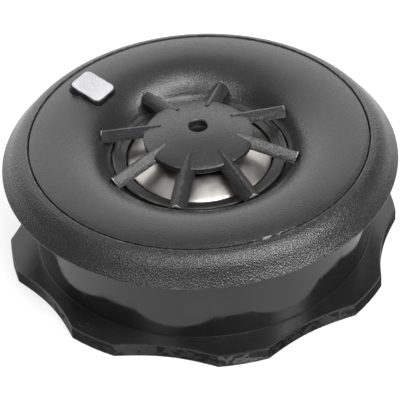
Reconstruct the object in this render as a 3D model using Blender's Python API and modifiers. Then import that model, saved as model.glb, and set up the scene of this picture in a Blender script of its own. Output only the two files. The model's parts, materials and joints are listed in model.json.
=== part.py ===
"""Flush-mount car tweeter: a dome tweeter in a threaded mounting cup, clamped from behind by a scalloped lock nut.

+Z is the way the sound goes, Z = 0 is the lock nut's back face and the axis of every turned piece is Z.
Lengths below are in millimetres and become metres when a mesh is made.
"""

import math

import bmesh
import bpy
from mathutils import Matrix, Vector

MM = 0.001
MERGE = 0.00001
TURNED_STEPS = 48
INNER_STEPS = 32

# Mounting cup: trim ring, barrel and male thread
TRIM_RADIUS = 26.6
RECESS_RADIUS = 23.0
RECESS_FLOOR = 16.2
TRIM_TOP = 17.3
TRIM_BACK = 13.65
LAND_INNER = 23.2
RELIEF_DEPTH = 1.05
BARREL_OUTER = 20.5
BARREL_INNER = 19.5
BARREL_END = 0.8
STOP_LEDGE_INNER = 17.8
STOP_LEDGE_TOP = 1.8

# Screw motion between the cup and the lock nut
THREAD_PITCH = 3.0
THREAD_STEPS = 24
MALE_TURNS = 3.0
FEMALE_TURNS = 2.5
THREAD_ROOT_HALF = 0.55
THREAD_TIP_HALF = 0.3
THREAD_BURY = 0.3
MALE_TIP = 21.2
MALE_START = 2.6
FEMALE_TIP = 20.85

# Lock nut
NUT_SLEEVE_OUTER = 22.75
NUT_BORE = 21.55
NUT_RIM = 13.55
NUT_FLANGE_TOP = 2.05
NUT_LOBES = 8
NUT_LOBE_RADIUS = 26.5
NUT_VALLEY_RADIUS = 24.7
NUT_LOBE_HALF = 7.3
NUT_LOBE_PHASE = 1.6
NUT_VALLEY_STEPS = 6
NUT_EDGE_BEVEL = 0.16

# Slip washer between the nut's rim and the panel
WASHER_INNER = 21.45
WASHER_OUTER = 22.6
WASHER_LOW = 13.75
WASHER_HIGH = 14.25

# Front bezel
BEZEL_RADIUS = 22.7
BEZEL_RIM_BACK = 16.5
BEZEL_BACK = 14.2
THROAT_RADIUS = 12.0
SKIRT_OUTER = 18.6
SKIRT_INNER = 17.3
SKIRT_END = 12.3

# Diffuser: perforated disc on eight fins
DISC_RADIUS = 7.4
HOLE_RADIUS = 1.27
FIN_COUNT = 8
FIN_PHASE = 22.5
FIN_RIDGE_START = (5.2, 18.7)
FIN_RIDGE_END = (13.45, 16.47)
FIN_FOOT_START = (5.9, 17.45)
FIN_FOOT_END = (12.95, 15.38)
FIN_RIDGE_HALF = 0.17
FIN_FOOT_HALF = 1.2

# Raised badge, leaning with the bezel's inner slope
BADGE_ANGLE = 89.5
BADGE_CENTRE_RADIUS = 17.77
BADGE_TOP = 18.55
BADGE_TILT = 12.0
BADGE_WIDTH = 4.4
BADGE_LENGTH = 5.3
BADGE_THICKNESS = 1.35
BADGE_CORNER = 1.0
BADGE_CLEARANCE = 0.12

# Driver: faceplate, diaphragm and motor
FACE_LIP_INNER = 9.95
FACE_LIP_OUTER = 11.7
FACE_RADIUS = 16.9
FACE_TOP = 13.7
FACE_BACK = 12.9
GASKET_INNER = 12.6
GASKET_OUTER = 13.6
DOME_EDGE = 9.7
DOME_EDGE_Z = 14.0
DOME_RISE = 2.6
DOME_WALL = 0.12
DOME_SKIRT_END = 12.95
DOME_STEPS = 5
ROLL_INNER = 10.1
ROLL_OUTER = 11.1
ROLL_RISE = 0.38
ROLL_WALL = 0.15
ROLL_STEPS = 5
SURROUND_LOW = 12.88
SURROUND_INNER = 9.78
SURROUND_OUTER = 11.85
COIL_LOW = 10.9
YOKE_RADIUS = 12.0
YOKE_BORE = 10.25
YOKE_TOP = 12.2
YOKE_FLOOR = 8.3
YOKE_BACK = 7.0
NOTCH_WIDTH = 0.9

# Rear housing and its bayonet
HOUSING_OUTER = 18.6
HOUSING_INNER = 17.3
HOUSING_TOP = 12.0
HOUSING_FLOOR = 3.8
HOUSING_BACK = 2.6
LUG_COUNT = 3
LUG_RADIUS = 19.25
LUG_LOW = 7.0
LUG_HIGH = 8.2
LUG_SPAN = 16.0
LEDGE_RADIUS = 18.85
LEDGE_LOW = 8.5
LEDGE_HIGH = 9.7
LEDGE_SPAN = 22.0
LUG_PHASE = 60.0

# Terminals and lead-outs
BOARD_LENGTH = 15.0
BOARD_WIDTH = 7.0
BOARD_LOW = 1.7
BOARD_HIGH = 2.3
TAB_X = 4.5
TAB_THICKNESS = 0.5
TAB_LOW = 0.5
TAB_HIGH = 4.8
POSITIVE_TAB_WIDTH = 2.8
NEGATIVE_TAB_WIDTH = 2.0
SLOT_CLEARANCE = 0.15
LEAD_RADIUS = 0.15
LEAD_LANE = 12.45

# Screws that hold the faceplate to the bezel
SCREW_CIRCLE = 15.0
SCREW_ANGLES = (30.0, 150.0, 270.0)
SCREW_HEAD_RADIUS = 1.1
SCREW_SHANK_RADIUS = 0.6
SCREW_HEAD_LOW = 12.0
SCREW_HEAD_HIGH = 12.7
SCREW_END = 15.6
SCREW_STEPS = 16

COLLECTION_NAME = "CarTweeter"
CUTTER_COLLECTION_NAME = "Cutters"

FINISHES = {
    "grained_black_plastic": ((0.036, 0.036, 0.038), 0.55, 0.0),
    "gloss_black_plastic": ((0.010, 0.010, 0.011), 0.16, 0.0),
    "badge_grey": ((0.42, 0.42, 0.47), 0.5, 0.0),
    "titanium": ((0.60, 0.57, 0.53), 0.28, 1.0),
    "black_rubber": ((0.020, 0.020, 0.020), 0.8, 0.0),
    "nylon": ((0.030, 0.030, 0.032), 0.45, 0.0),
    "foam": ((0.040, 0.040, 0.042), 0.95, 0.0),
    "felt": ((0.16, 0.16, 0.17), 0.95, 0.0),
    "amber_film": ((0.42, 0.17, 0.04), 0.35, 0.0),
    "copper_wire": ((0.72, 0.30, 0.15), 0.35, 1.0),
    "zinc_steel": ((0.50, 0.50, 0.51), 0.35, 1.0),
    "nickel_magnet": ((0.62, 0.60, 0.55), 0.25, 1.0),
    "fibre_board": ((0.17, 0.085, 0.035), 0.6, 0.0),
    "brass": ((0.70, 0.50, 0.20), 0.3, 1.0),
}


def clear_scene():
    for obj in list(bpy.data.objects):
        bpy.data.objects.remove(obj, do_unlink=True)


def make_collection(name, helper):
    made = bpy.data.collections.new(name)
    bpy.context.scene.collection.children.link(made)
    made.hide_render = helper
    return made


def make_material(name, colour, roughness, metallic):
    made = bpy.data.materials.new(name)
    made.use_nodes = True
    shader = made.node_tree.nodes["Principled BSDF"]
    shader.inputs["Base Color"].default_value = (*colour, 1.0)
    shader.inputs["Roughness"].default_value = roughness
    shader.inputs["Metallic"].default_value = metallic
    made.diffuse_color = (*colour, 1.0)
    return made


def finish_object(name, mesh, finish):
    """Link a named object of this mesh: a part with its own material, or a cutter when finish is None."""
    obj = bpy.data.objects.new(name, mesh)
    if finish is None:
        bpy.data.collections[CUTTER_COLLECTION_NAME].objects.link(obj)
        obj.hide_render = True
        obj.display_type = "WIRE"
        return obj
    bpy.data.collections[COLLECTION_NAME].objects.link(obj)
    mesh.materials.append(make_material(name, *FINISHES[finish]))
    return obj


def from_bmesh(name, shape, finish=None):
    bmesh.ops.recalc_face_normals(shape, faces=shape.faces)
    bmesh.ops.scale(shape, vec=Vector((MM, MM, MM)), verts=shape.verts)
    mesh = bpy.data.meshes.new(name)
    shape.to_mesh(mesh)
    shape.free()
    return finish_object(name, mesh, finish)


def turned(name, profile, finish=None, steps=TURNED_STEPS):
    """Turn a profile of (radius, height) pairs about Z. It runs down the outer side, and closes unless it ends on Z."""
    mesh = bpy.data.meshes.new(name)
    points = [(radius * MM, 0.0, height * MM) for radius, height in profile]
    edges = [(index, index + 1) for index in range(len(points) - 1)]
    if profile[0][0] > 0.0:
        edges.append((len(points) - 1, 0))
    mesh.from_pydata(points, edges, [])
    obj = finish_object(name, mesh, finish)
    screw = obj.modifiers.new("Turn", "SCREW")
    screw.axis = "Z"
    screw.steps = steps
    screw.render_steps = steps
    screw.use_merge_vertices = True
    screw.merge_threshold = MERGE
    screw.use_smooth_shade = True
    return obj


def ring(name, inner, outer, low, high, finish=None, steps=INNER_STEPS):
    return turned(name, [(outer, high), (outer, low), (inner, low), (inner, high)], finish, steps)


def plug(name, radius, low, high, finish=None, steps=INNER_STEPS):
    return turned(name, [(0.0, high), (radius, high), (radius, low), (0.0, low)], finish, steps)


def box(name, size, centre, turn=0.0, finish=None):
    """A box of (x, y, z) size, set down at centre and then turned about Z by turn degrees."""
    shape = bmesh.new()
    bmesh.ops.create_cube(shape, size=1.0)
    bmesh.ops.scale(shape, vec=Vector(size), verts=shape.verts)
    bmesh.ops.translate(shape, vec=Vector(centre), verts=shape.verts)
    spin = Matrix.Rotation(math.radians(turn), 3, "Z")
    bmesh.ops.rotate(shape, matrix=spin, verts=shape.verts)
    return from_bmesh(name, shape, finish)


def swept_face(corners, start, angle, steps, rise_per_step):
    """Spin a face of (radius, height) corners about Z from start degrees through angle degrees."""
    shape = bmesh.new()
    verts = [shape.verts.new((radius, 0.0, height)) for radius, height in corners]
    shape.faces.new(verts)
    bmesh.ops.rotate(
        shape,
        matrix=Matrix.Rotation(math.radians(start), 3, "Z"),
        verts=shape.verts,
    )
    bmesh.ops.spin(
        shape,
        geom=shape.verts[:] + shape.edges[:] + shape.faces[:],
        axis=Vector((0.0, 0.0, 1.0)),
        cent=Vector((0.0, 0.0, 0.0)),
        dvec=Vector((0.0, 0.0, rise_per_step)),
        angle=math.radians(angle),
        steps=steps,
    )
    return shape


def sector(name, inner, outer, low, high, centre, span):
    corners = [(outer, high), (outer, low), (inner, low), (inner, high)]
    return from_bmesh(name, swept_face(corners, centre - span / 2.0, span, 4, 0.0))


def thread_ridge(name, root, tip, start_height, turns):
    """One right-handed helical ridge, buried past its root radius so that a union joins it to its wall."""
    buried = root - THREAD_BURY if tip > root else root + THREAD_BURY
    corners = [
        (buried, start_height - THREAD_ROOT_HALF),
        (root, start_height - THREAD_ROOT_HALF),
        (tip, start_height - THREAD_TIP_HALF),
        (tip, start_height + THREAD_TIP_HALF),
        (root, start_height + THREAD_ROOT_HALF),
        (buried, start_height + THREAD_ROOT_HALF),
    ]
    steps = round(THREAD_STEPS * turns)
    rise = THREAD_PITCH / THREAD_STEPS
    return from_bmesh(name, swept_face(corners, 0.0, 360.0 * turns, steps, rise))


def apply_boolean(obj, other, operation):
    change = obj.modifiers.new(other.name, "BOOLEAN")
    change.operation = operation
    change.solver = "EXACT"
    change.object = other


def polar(radius, degrees):
    turn = math.radians(degrees)
    return radius * math.cos(turn), radius * math.sin(turn)


def between(start, end, share):
    return start + (end - start) * share


def build_mounting_cup():
    profile = [
        (RECESS_RADIUS, TRIM_TOP),
        (23.9, 16.9),
        (24.85, 16.07),
        (25.8, 14.88),
        (26.45, 14.1),
        (TRIM_RADIUS, 13.88),
        (26.3, TRIM_BACK),
        (LAND_INNER, TRIM_BACK),
        (LAND_INNER, TRIM_BACK + RELIEF_DEPTH),
        (BARREL_OUTER, TRIM_BACK + RELIEF_DEPTH),
        (BARREL_OUTER, BARREL_END + 0.4),
        (BARREL_OUTER - 0.3, BARREL_END),
        (STOP_LEDGE_INNER, BARREL_END),
        (STOP_LEDGE_INNER, STOP_LEDGE_TOP),
        (BARREL_INNER, STOP_LEDGE_TOP),
        (BARREL_INNER, RECESS_FLOOR),
        (RECESS_RADIUS, RECESS_FLOOR),
    ]
    cup = turned("mounting_cup", profile, "grained_black_plastic")
    thread = thread_ridge("male_thread", BARREL_OUTER, MALE_TIP, MALE_START, MALE_TURNS)
    apply_boolean(cup, thread, "UNION")
    for index in range(LUG_COUNT):
        centre = LUG_PHASE + index * 360.0 / LUG_COUNT
        ledge = sector(
            f"bayonet_ledge_{index + 1}",
            LEDGE_RADIUS,
            BARREL_INNER + THREAD_BURY,
            LEDGE_LOW,
            LEDGE_HIGH,
            centre,
            LEDGE_SPAN,
        )
        apply_boolean(cup, ledge, "UNION")


def scalloped_outline():
    """Corners of the nut's flange: eight lobes with a hollow between each two."""
    points = []
    pitch = 360.0 / NUT_LOBES
    half_valley = pitch / 2.0 - NUT_LOBE_HALF
    for lobe in range(NUT_LOBES):
        centre = NUT_LOBE_PHASE + lobe * pitch
        points.append(polar(NUT_LOBE_RADIUS, centre - NUT_LOBE_HALF))
        points.append(polar(NUT_LOBE_RADIUS + 0.05, centre))
        valley = centre + pitch / 2.0
        for step in range(NUT_VALLEY_STEPS):
            share = 2.0 * step / NUT_VALLEY_STEPS - 1.0
            radius = between(NUT_VALLEY_RADIUS, NUT_LOBE_RADIUS, share * share)
            points.append(polar(radius, valley + share * half_valley))
    return points


def build_lock_nut():
    shape = bmesh.new()
    corners = [shape.verts.new((x, y, 0.0)) for x, y in scalloped_outline()]
    outline = shape.faces.new(corners)
    risen = bmesh.ops.extrude_face_region(shape, geom=[outline])["geom"]
    top = [item for item in risen if isinstance(item, bmesh.types.BMVert)]
    bmesh.ops.translate(shape, vec=Vector((0.0, 0.0, NUT_FLANGE_TOP)), verts=top)
    nut = from_bmesh("lock_nut", shape, "gloss_black_plastic")
    bevel = nut.modifiers.new("Edge", "BEVEL")
    bevel.width = NUT_EDGE_BEVEL * MM
    bevel.segments = 1
    bevel.limit_method = "ANGLE"
    bevel.angle_limit = math.radians(60.0)
    sleeve = [
        (NUT_SLEEVE_OUTER - 0.2, NUT_RIM),
        (NUT_SLEEVE_OUTER, NUT_RIM - 0.2),
        (NUT_SLEEVE_OUTER, NUT_FLANGE_TOP + 0.35),
        (NUT_SLEEVE_OUTER + 0.35, NUT_FLANGE_TOP - 0.02),
        (NUT_SLEEVE_OUTER + 0.35, 0.6),
        (NUT_BORE - 0.3, 0.6),
        (NUT_BORE - 0.3, 0.9),
        (NUT_BORE, 1.2),
        (NUT_BORE, NUT_RIM),
    ]
    bore = plug("nut_bore_cutter", NUT_BORE - 0.3, -2.0, 5.0, None, TURNED_STEPS)
    apply_boolean(nut, bore, "DIFFERENCE")
    apply_boolean(nut, turned("nut_sleeve", sleeve), "UNION")
    start = MALE_START + THREAD_PITCH / 2.0
    thread = thread_ridge("female_thread", NUT_BORE, FEMALE_TIP, start, FEMALE_TURNS)
    apply_boolean(nut, thread, "UNION")


def badge_block(name, finish, grow):
    """The badge's rounded tablet, grown by a clearance all round for its pocket."""
    shape = bmesh.new()
    bmesh.ops.create_cube(shape, size=1.0)
    size = Vector((BADGE_LENGTH, BADGE_WIDTH, BADGE_THICKNESS)) + Vector((2, 2, 2)) * grow
    bmesh.ops.scale(shape, vec=size, verts=shape.verts)
    bmesh.ops.translate(
        shape, vec=Vector((0.0, 0.0, -BADGE_THICKNESS / 2.0)), verts=shape.verts
    )
    upright = [
        edge
        for edge in shape.edges
        if abs(edge.verts[0].co.z - edge.verts[1].co.z) > BADGE_THICKNESS / 2.0
    ]
    bmesh.ops.bevel(
        shape,
        geom=upright,
        offset=BADGE_CORNER,
        segments=3,
        profile=0.5,
        affect="EDGES",
        material=-1,
    )
    lean = Matrix.Rotation(math.radians(-BADGE_TILT), 3, "Y")
    bmesh.ops.rotate(shape, matrix=lean, verts=shape.verts)
    bmesh.ops.translate(
        shape, vec=Vector((BADGE_CENTRE_RADIUS, 0.0, BADGE_TOP)), verts=shape.verts
    )
    around = Matrix.Rotation(math.radians(BADGE_ANGLE), 3, "Z")
    bmesh.ops.rotate(shape, matrix=around, verts=shape.verts)
    return from_bmesh(name, shape, finish)


def build_front_bezel():
    profile = [
        (18.8, 18.0),
        (19.8, 17.96),
        (20.6, 17.86),
        (21.4, 17.7),
        (22.1, 17.5),
        (BEZEL_RADIUS, 17.28),
        (BEZEL_RADIUS, BEZEL_RIM_BACK),
        (SKIRT_OUTER, BEZEL_RIM_BACK),
        (SKIRT_OUTER, SKIRT_END),
        (SKIRT_INNER, SKIRT_END),
        (SKIRT_INNER, BEZEL_BACK),
        (THROAT_RADIUS + 0.1, BEZEL_BACK),
        (THROAT_RADIUS, 14.3),
        (12.5, 14.68),
        (12.97, 15.22),
        (13.5, 15.8),
        (14.08, 16.33),
        (14.83, 16.86),
        (15.75, 17.35),
        (16.73, 17.71),
        (17.76, 17.93),
    ]
    bezel = turned("front_bezel", profile, "grained_black_plastic")
    apply_boolean(bezel, badge_block("badge_pocket", None, BADGE_CLEARANCE), "DIFFERENCE")
    for index, angle in enumerate(SCREW_ANGLES):
        apply_boolean(
            bezel,
            screw_hole(f"bezel_pilot_{index + 1}", angle, 0.72, BEZEL_BACK - 1.0, 15.9),
            "DIFFERENCE",
        )
    badge_block("badge", "badge_grey", 0.0)


def fin_block(name, degrees):
    """One fin: a sharp ridge running out from the disc, over a wide foot."""
    shape = bmesh.new()
    bmesh.ops.create_cube(shape, size=1.0)
    for vert in shape.verts:
        start = FIN_RIDGE_START if vert.co.z > 0.0 else FIN_FOOT_START
        end = FIN_RIDGE_END if vert.co.z > 0.0 else FIN_FOOT_END
        half = FIN_RIDGE_HALF if vert.co.z > 0.0 else FIN_FOOT_HALF
        radius, height = start if vert.co.x < 0.0 else end
        vert.co = Vector((radius, math.copysign(half, vert.co.y), height))
    around = Matrix.Rotation(math.radians(degrees), 3, "Z")
    bmesh.ops.rotate(shape, matrix=around, verts=shape.verts)
    return from_bmesh(name, shape)


def build_diffuser():
    profile = [
        (HOLE_RADIUS + 0.2, 19.27),
        (3.6, 18.97),
        (5.6, 18.45),
        (DISC_RADIUS - 0.25, 17.87),
        (DISC_RADIUS, 17.65),
        (DISC_RADIUS - 0.05, 16.9),
        (6.6, 16.85),
        (4.2, 17.6),
        (HOLE_RADIUS, 18.05),
        (HOLE_RADIUS, 19.1),
    ]
    diffuser = turned("diffuser", profile, "grained_black_plastic")
    for index in range(FIN_COUNT):
        angle = FIN_PHASE + index * 360.0 / FIN_COUNT
        apply_boolean(diffuser, fin_block(f"fin_{index + 1}", angle), "UNION")


def dome_arc(edge_radius, edge_height, rise):
    """Points of a spherical cap from its apex down to its edge."""
    sphere = (edge_radius**2 + rise**2) / (2.0 * rise)
    half_angle = math.asin(edge_radius / sphere)
    centre = edge_height + rise - sphere
    turns = [half_angle * step / DOME_STEPS for step in range(DOME_STEPS + 1)]
    return [(sphere * math.sin(turn), centre + sphere * math.cos(turn)) for turn in turns]


def roll_arc(lift):
    """Points across the surround's half roll, from its outer foot to its inner one."""
    middle = (ROLL_INNER + ROLL_OUTER) / 2.0
    half = (ROLL_OUTER - ROLL_INNER) / 2.0
    turns = [math.pi * step / ROLL_STEPS for step in range(ROLL_STEPS + 1)]
    return [
        (middle + half * math.cos(turn), SURROUND_LOW + lift + ROLL_RISE * math.sin(turn))
        for turn in turns
    ]


def build_diaphragm():
    outside = dome_arc(DOME_EDGE, DOME_EDGE_Z, DOME_RISE)
    inside = dome_arc(DOME_EDGE - DOME_WALL, DOME_EDGE_Z - DOME_WALL, DOME_RISE)
    lower = [(DOME_EDGE, DOME_SKIRT_END), (DOME_EDGE - DOME_WALL, DOME_SKIRT_END)]
    turned("dome", outside + lower + inside[::-1], "titanium", INNER_STEPS)
    upper_side = roll_arc(ROLL_WALL)
    under_side = roll_arc(0.0)
    profile = [(SURROUND_OUTER, SURROUND_LOW), *under_side, (SURROUND_INNER, SURROUND_LOW)]
    profile += [(SURROUND_INNER, SURROUND_LOW + ROLL_WALL), *upper_side[::-1]]
    profile.append((SURROUND_OUTER, SURROUND_LOW + ROLL_WALL))
    turned("surround", profile, "black_rubber", INNER_STEPS)
    ring("voice_coil_former", 9.38, 9.50, COIL_LOW, 13.6, "amber_film")
    ring("voice_coil", 9.56, 9.92, COIL_LOW, 12.3, "copper_wire")


def build_motor():
    yoke = [
        (0.0, YOKE_FLOOR),
        (YOKE_BORE, YOKE_FLOOR),
        (YOKE_BORE, YOKE_TOP),
        (YOKE_RADIUS, YOKE_TOP),
        (YOKE_RADIUS, YOKE_BACK + 0.4),
        (YOKE_RADIUS - 0.4, YOKE_BACK),
        (0.0, YOKE_BACK),
    ]
    turned("yoke_cup", yoke, "zinc_steel", INNER_STEPS)
    plug("magnet", 8.3, YOKE_FLOOR + 0.1, 10.9, "nickel_magnet")
    plug("pole_plate", 9.1, 11.0, YOKE_TOP, "zinc_steel")
    plug("pole_pad", 5.0, 12.35, 13.3, "felt")
    ring("absorber_ring", 12.9, 16.9, 6.4, 11.6, "foam")
    frame = ring("diaphragm_ring", 10.9, 12.2, 12.35, 12.75, "fibre_board")
    notch = box("lead_notch_cutter", (40.0, NOTCH_WIDTH, 2.0), (0.0, 0.0, 13.4))
    apply_boolean(frame, notch, "DIFFERENCE")


def build_faceplate():
    profile = [
        (FACE_LIP_OUTER, 14.6),
        (FACE_LIP_OUTER, FACE_TOP),
        (FACE_RADIUS, FACE_TOP),
        (FACE_RADIUS, FACE_BACK),
        (12.6, FACE_BACK),
        (12.05, 13.72),
        (FACE_LIP_INNER + 0.05, 13.72),
        (FACE_LIP_INNER, 14.15),
    ]
    faceplate = turned("faceplate", profile, "grained_black_plastic")
    for index, angle in enumerate(SCREW_ANGLES):
        hole = screw_hole(f"faceplate_hole_{index + 1}", angle, 0.85, 12.0, 14.1)
        apply_boolean(faceplate, hole, "DIFFERENCE")
    ring("front_gasket", GASKET_INNER, GASKET_OUTER, 13.78, 14.12, "foam")


def screw_hole(name, degrees, radius, low, high):
    shape = bmesh.new()
    bmesh.ops.create_cone(
        shape,
        cap_ends=True,
        segments=SCREW_STEPS,
        radius1=radius,
        radius2=radius,
        depth=high - low,
    )
    x, y = polar(SCREW_CIRCLE, degrees)
    bmesh.ops.translate(shape, vec=Vector((x, y, (low + high) / 2.0)), verts=shape.verts)
    return from_bmesh(name, shape)


def build_screws():
    profile = [
        (0.0, SCREW_END),
        (SCREW_SHANK_RADIUS - 0.3, SCREW_END),
        (SCREW_SHANK_RADIUS, SCREW_END - 0.5),
        (SCREW_SHANK_RADIUS, SCREW_HEAD_HIGH),
        (SCREW_HEAD_RADIUS, SCREW_HEAD_HIGH),
        (SCREW_HEAD_RADIUS, SCREW_HEAD_LOW + 0.25),
        (SCREW_HEAD_RADIUS - 0.3, SCREW_HEAD_LOW),
        (0.0, SCREW_HEAD_LOW),
    ]
    for index, angle in enumerate(SCREW_ANGLES):
        screw = turned(f"faceplate_screw_{index + 1}", profile, "zinc_steel", SCREW_STEPS)
        x, y = polar(SCREW_CIRCLE * MM, angle)
        screw.location = (x, y, 0.0)
        for bar, size in enumerate(((1.4, 0.3, 0.8), (0.3, 1.4, 0.8))):
            cutter = box(f"cross_{index + 1}_{bar + 1}", size, (0.0, 0.0, SCREW_HEAD_LOW))
            cutter.location = (x, y, 0.0)
            apply_boolean(screw, cutter, "DIFFERENCE")


def build_rear_housing():
    profile = [
        (HOUSING_OUTER, HOUSING_TOP),
        (HOUSING_OUTER, HOUSING_BACK + 0.8),
        (HOUSING_OUTER - 0.8, HOUSING_BACK),
        (0.0, HOUSING_BACK),
    ]
    inside = [(0.0, HOUSING_FLOOR), (HOUSING_INNER, HOUSING_FLOOR), (HOUSING_INNER, HOUSING_TOP)]
    housing = turned("rear_housing", inside + profile, "gloss_black_plastic")
    for index in range(LUG_COUNT):
        centre = LUG_PHASE + index * 360.0 / LUG_COUNT
        lug = sector(
            f"bayonet_lug_{index + 1}",
            HOUSING_OUTER - THREAD_BURY,
            LUG_RADIUS,
            LUG_LOW,
            LUG_HIGH,
            centre,
            LUG_SPAN,
        )
        apply_boolean(housing, lug, "UNION")
    board = box(
        "terminal_board",
        (BOARD_LENGTH, BOARD_WIDTH, BOARD_HIGH - BOARD_LOW),
        (0.0, 0.0, (BOARD_LOW + BOARD_HIGH) / 2.0),
        finish="fibre_board",
    )
    tabs = (
        ("terminal_positive", TAB_X, POSITIVE_TAB_WIDTH),
        ("terminal_negative", -TAB_X, NEGATIVE_TAB_WIDTH),
    )
    middle = (TAB_LOW + TAB_HIGH) / 2.0
    for name, x, width in tabs:
        tab = box(name, (TAB_THICKNESS, width, TAB_HIGH - TAB_LOW), (x, 0.0, middle), 0.0, "brass")
        eye = box(f"{name}_eye", (2.0, 0.8, 0.8), (x, 0.0, TAB_LOW + 0.7))
        apply_boolean(tab, eye, "DIFFERENCE")
        slot_size = (TAB_THICKNESS + 2 * SLOT_CLEARANCE, width + 2 * SLOT_CLEARANCE, 6.0)
        slot = box(f"{name}_slot", slot_size, (x, 0.0, middle))
        apply_boolean(housing, slot, "DIFFERENCE")
        apply_boolean(board, slot, "DIFFERENCE")


def build_lead_outs():
    """The coil's two lead-outs: over the yoke, down its side and in to the tabs."""
    for name, side in (("lead_out_positive", 1.0), ("lead_out_negative", -1.0)):
        path = [
            (10.15, 12.55),
            (LEAD_LANE - 0.3, 12.55),
            (LEAD_LANE, 12.25),
            (LEAD_LANE, 6.0),
            (LEAD_LANE - 0.5, 5.4),
            (TAB_X, 5.4),
            (TAB_X, 5.05),
        ]
        curve = bpy.data.curves.new(name, "CURVE")
        curve.dimensions = "3D"
        curve.bevel_depth = LEAD_RADIUS * MM
        curve.bevel_resolution = 1
        curve.use_fill_caps = True
        line = curve.splines.new("POLY")
        line.points.add(len(path) - 1)
        for point, (radius, height) in zip(line.points, path):
            point.co = (side * radius * MM, 0.0, height * MM, 1.0)
        curve.materials.append(make_material(name, *FINISHES["copper_wire"]))
        lead = bpy.data.objects.new(name, curve)
        bpy.data.collections[COLLECTION_NAME].objects.link(lead)


def main():
    clear_scene()
    make_collection(COLLECTION_NAME, False)
    make_collection(CUTTER_COLLECTION_NAME, True)
    build_mounting_cup()
    build_lock_nut()
    ring(
        "slip_washer",
        WASHER_INNER,
        WASHER_OUTER,
        WASHER_LOW,
        WASHER_HIGH,
        "nylon",
        TURNED_STEPS,
    )
    build_front_bezel()
    build_diffuser()
    build_faceplate()
    build_screws()
    build_diaphragm()
    build_motor()
    build_rear_housing()
    build_lead_outs()


main()
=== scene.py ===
"""Looks of a flush-mount car tweeter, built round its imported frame.

Every piece is turned, cut or wound in millimetres about the speaker's axis, and becomes metres
when its mesh is made. Heights and radii come from the frame's own nodes, and the small offsets
beside them are the moulding's details.
"""

import json
import logging
import math
from dataclasses import dataclass
from enum import Enum
from typing import Iterable, Optional, Sequence

import bmesh
import bpy
from mathutils import Matrix, Vector


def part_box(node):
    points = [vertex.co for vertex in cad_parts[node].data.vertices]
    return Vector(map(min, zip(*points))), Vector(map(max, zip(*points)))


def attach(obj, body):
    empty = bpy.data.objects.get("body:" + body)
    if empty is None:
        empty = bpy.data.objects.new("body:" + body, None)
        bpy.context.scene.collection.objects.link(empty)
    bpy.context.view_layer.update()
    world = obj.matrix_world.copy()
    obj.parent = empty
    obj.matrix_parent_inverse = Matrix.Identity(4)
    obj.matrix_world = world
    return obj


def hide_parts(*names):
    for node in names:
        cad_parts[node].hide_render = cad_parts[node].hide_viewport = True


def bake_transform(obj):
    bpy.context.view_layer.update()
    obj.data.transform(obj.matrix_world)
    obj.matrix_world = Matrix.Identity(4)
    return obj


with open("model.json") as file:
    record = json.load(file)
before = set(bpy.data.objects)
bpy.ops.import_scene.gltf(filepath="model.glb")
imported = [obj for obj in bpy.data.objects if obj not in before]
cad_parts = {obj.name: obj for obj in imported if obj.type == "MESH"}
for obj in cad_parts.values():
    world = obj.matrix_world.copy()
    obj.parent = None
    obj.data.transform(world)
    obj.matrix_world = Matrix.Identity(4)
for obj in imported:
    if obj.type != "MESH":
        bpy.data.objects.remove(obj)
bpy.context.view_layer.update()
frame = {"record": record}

LOG = logging.getLogger("car_tweeter")
MM = 0.001
MERGE_MM = 0.0005
LONG_SPAN_MM = 0.45
LONG_EDGE_MM = 0.3
SUPPORT_MM = 0.06
UP = Vector((0.0, 0.0, 1.0))
CENTRE = Vector((0.0, 0.0, 0.0))
WHITE = (1.0, 1.0, 1.0, 1.0)
WEAR_ATTRIBUTE = "edge_wear"
# Pale colour for moulding flash and scuffs, also painted as a highlight line.
PALE_MARK_AND_HIGHLIGHT_COLOUR = (0.36, 0.35, 0.34)

Point = tuple[float, float]
Corner = tuple[float, float, float]
Colour = tuple[float, float, float]
Patch = tuple[Corner, Corner]
Shape = bmesh.types.BMesh
Edge = bmesh.types.BMEdge
Socket = bpy.types.NodeSocket


class Steps(Enum):
    """How finely a piece is divided on its way round the axis."""

    WIDE = 192
    MIDDLE = 128
    SCREW = 40


class Join(Enum):
    """What a second solid does to the first one."""

    UNITE = "UNION"
    CUT = "DIFFERENCE"


Work = Sequence[tuple[Join, Shape]]


@dataclass(frozen=True)
class Extent:
    """A node's lowest and highest corner, in millimetres."""

    low: Vector
    high: Vector

    @classmethod
    def of(cls, node: str) -> "Extent":
        """Read the extent of a node of the frame."""
        low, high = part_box(node)
        return cls(low / MM, high / MM)

    @property
    def radius(self) -> float:
        """The node's reach along +X, which is its radius where it is round."""
        return self.high.x

    @property
    def size(self) -> Vector:
        """The node's length along each axis."""
        return self.high - self.low

    @property
    def middle(self) -> Vector:
        """The node's middle."""
        return (self.high + self.low) / 2.0


# ---------------------------------------------------------------- finishes


def scaled(colour: Colour, factor: float) -> Colour:
    """Darken or brighten a colour, no further than white."""
    return tuple(min(1.0, factor * part) for part in colour)


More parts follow.
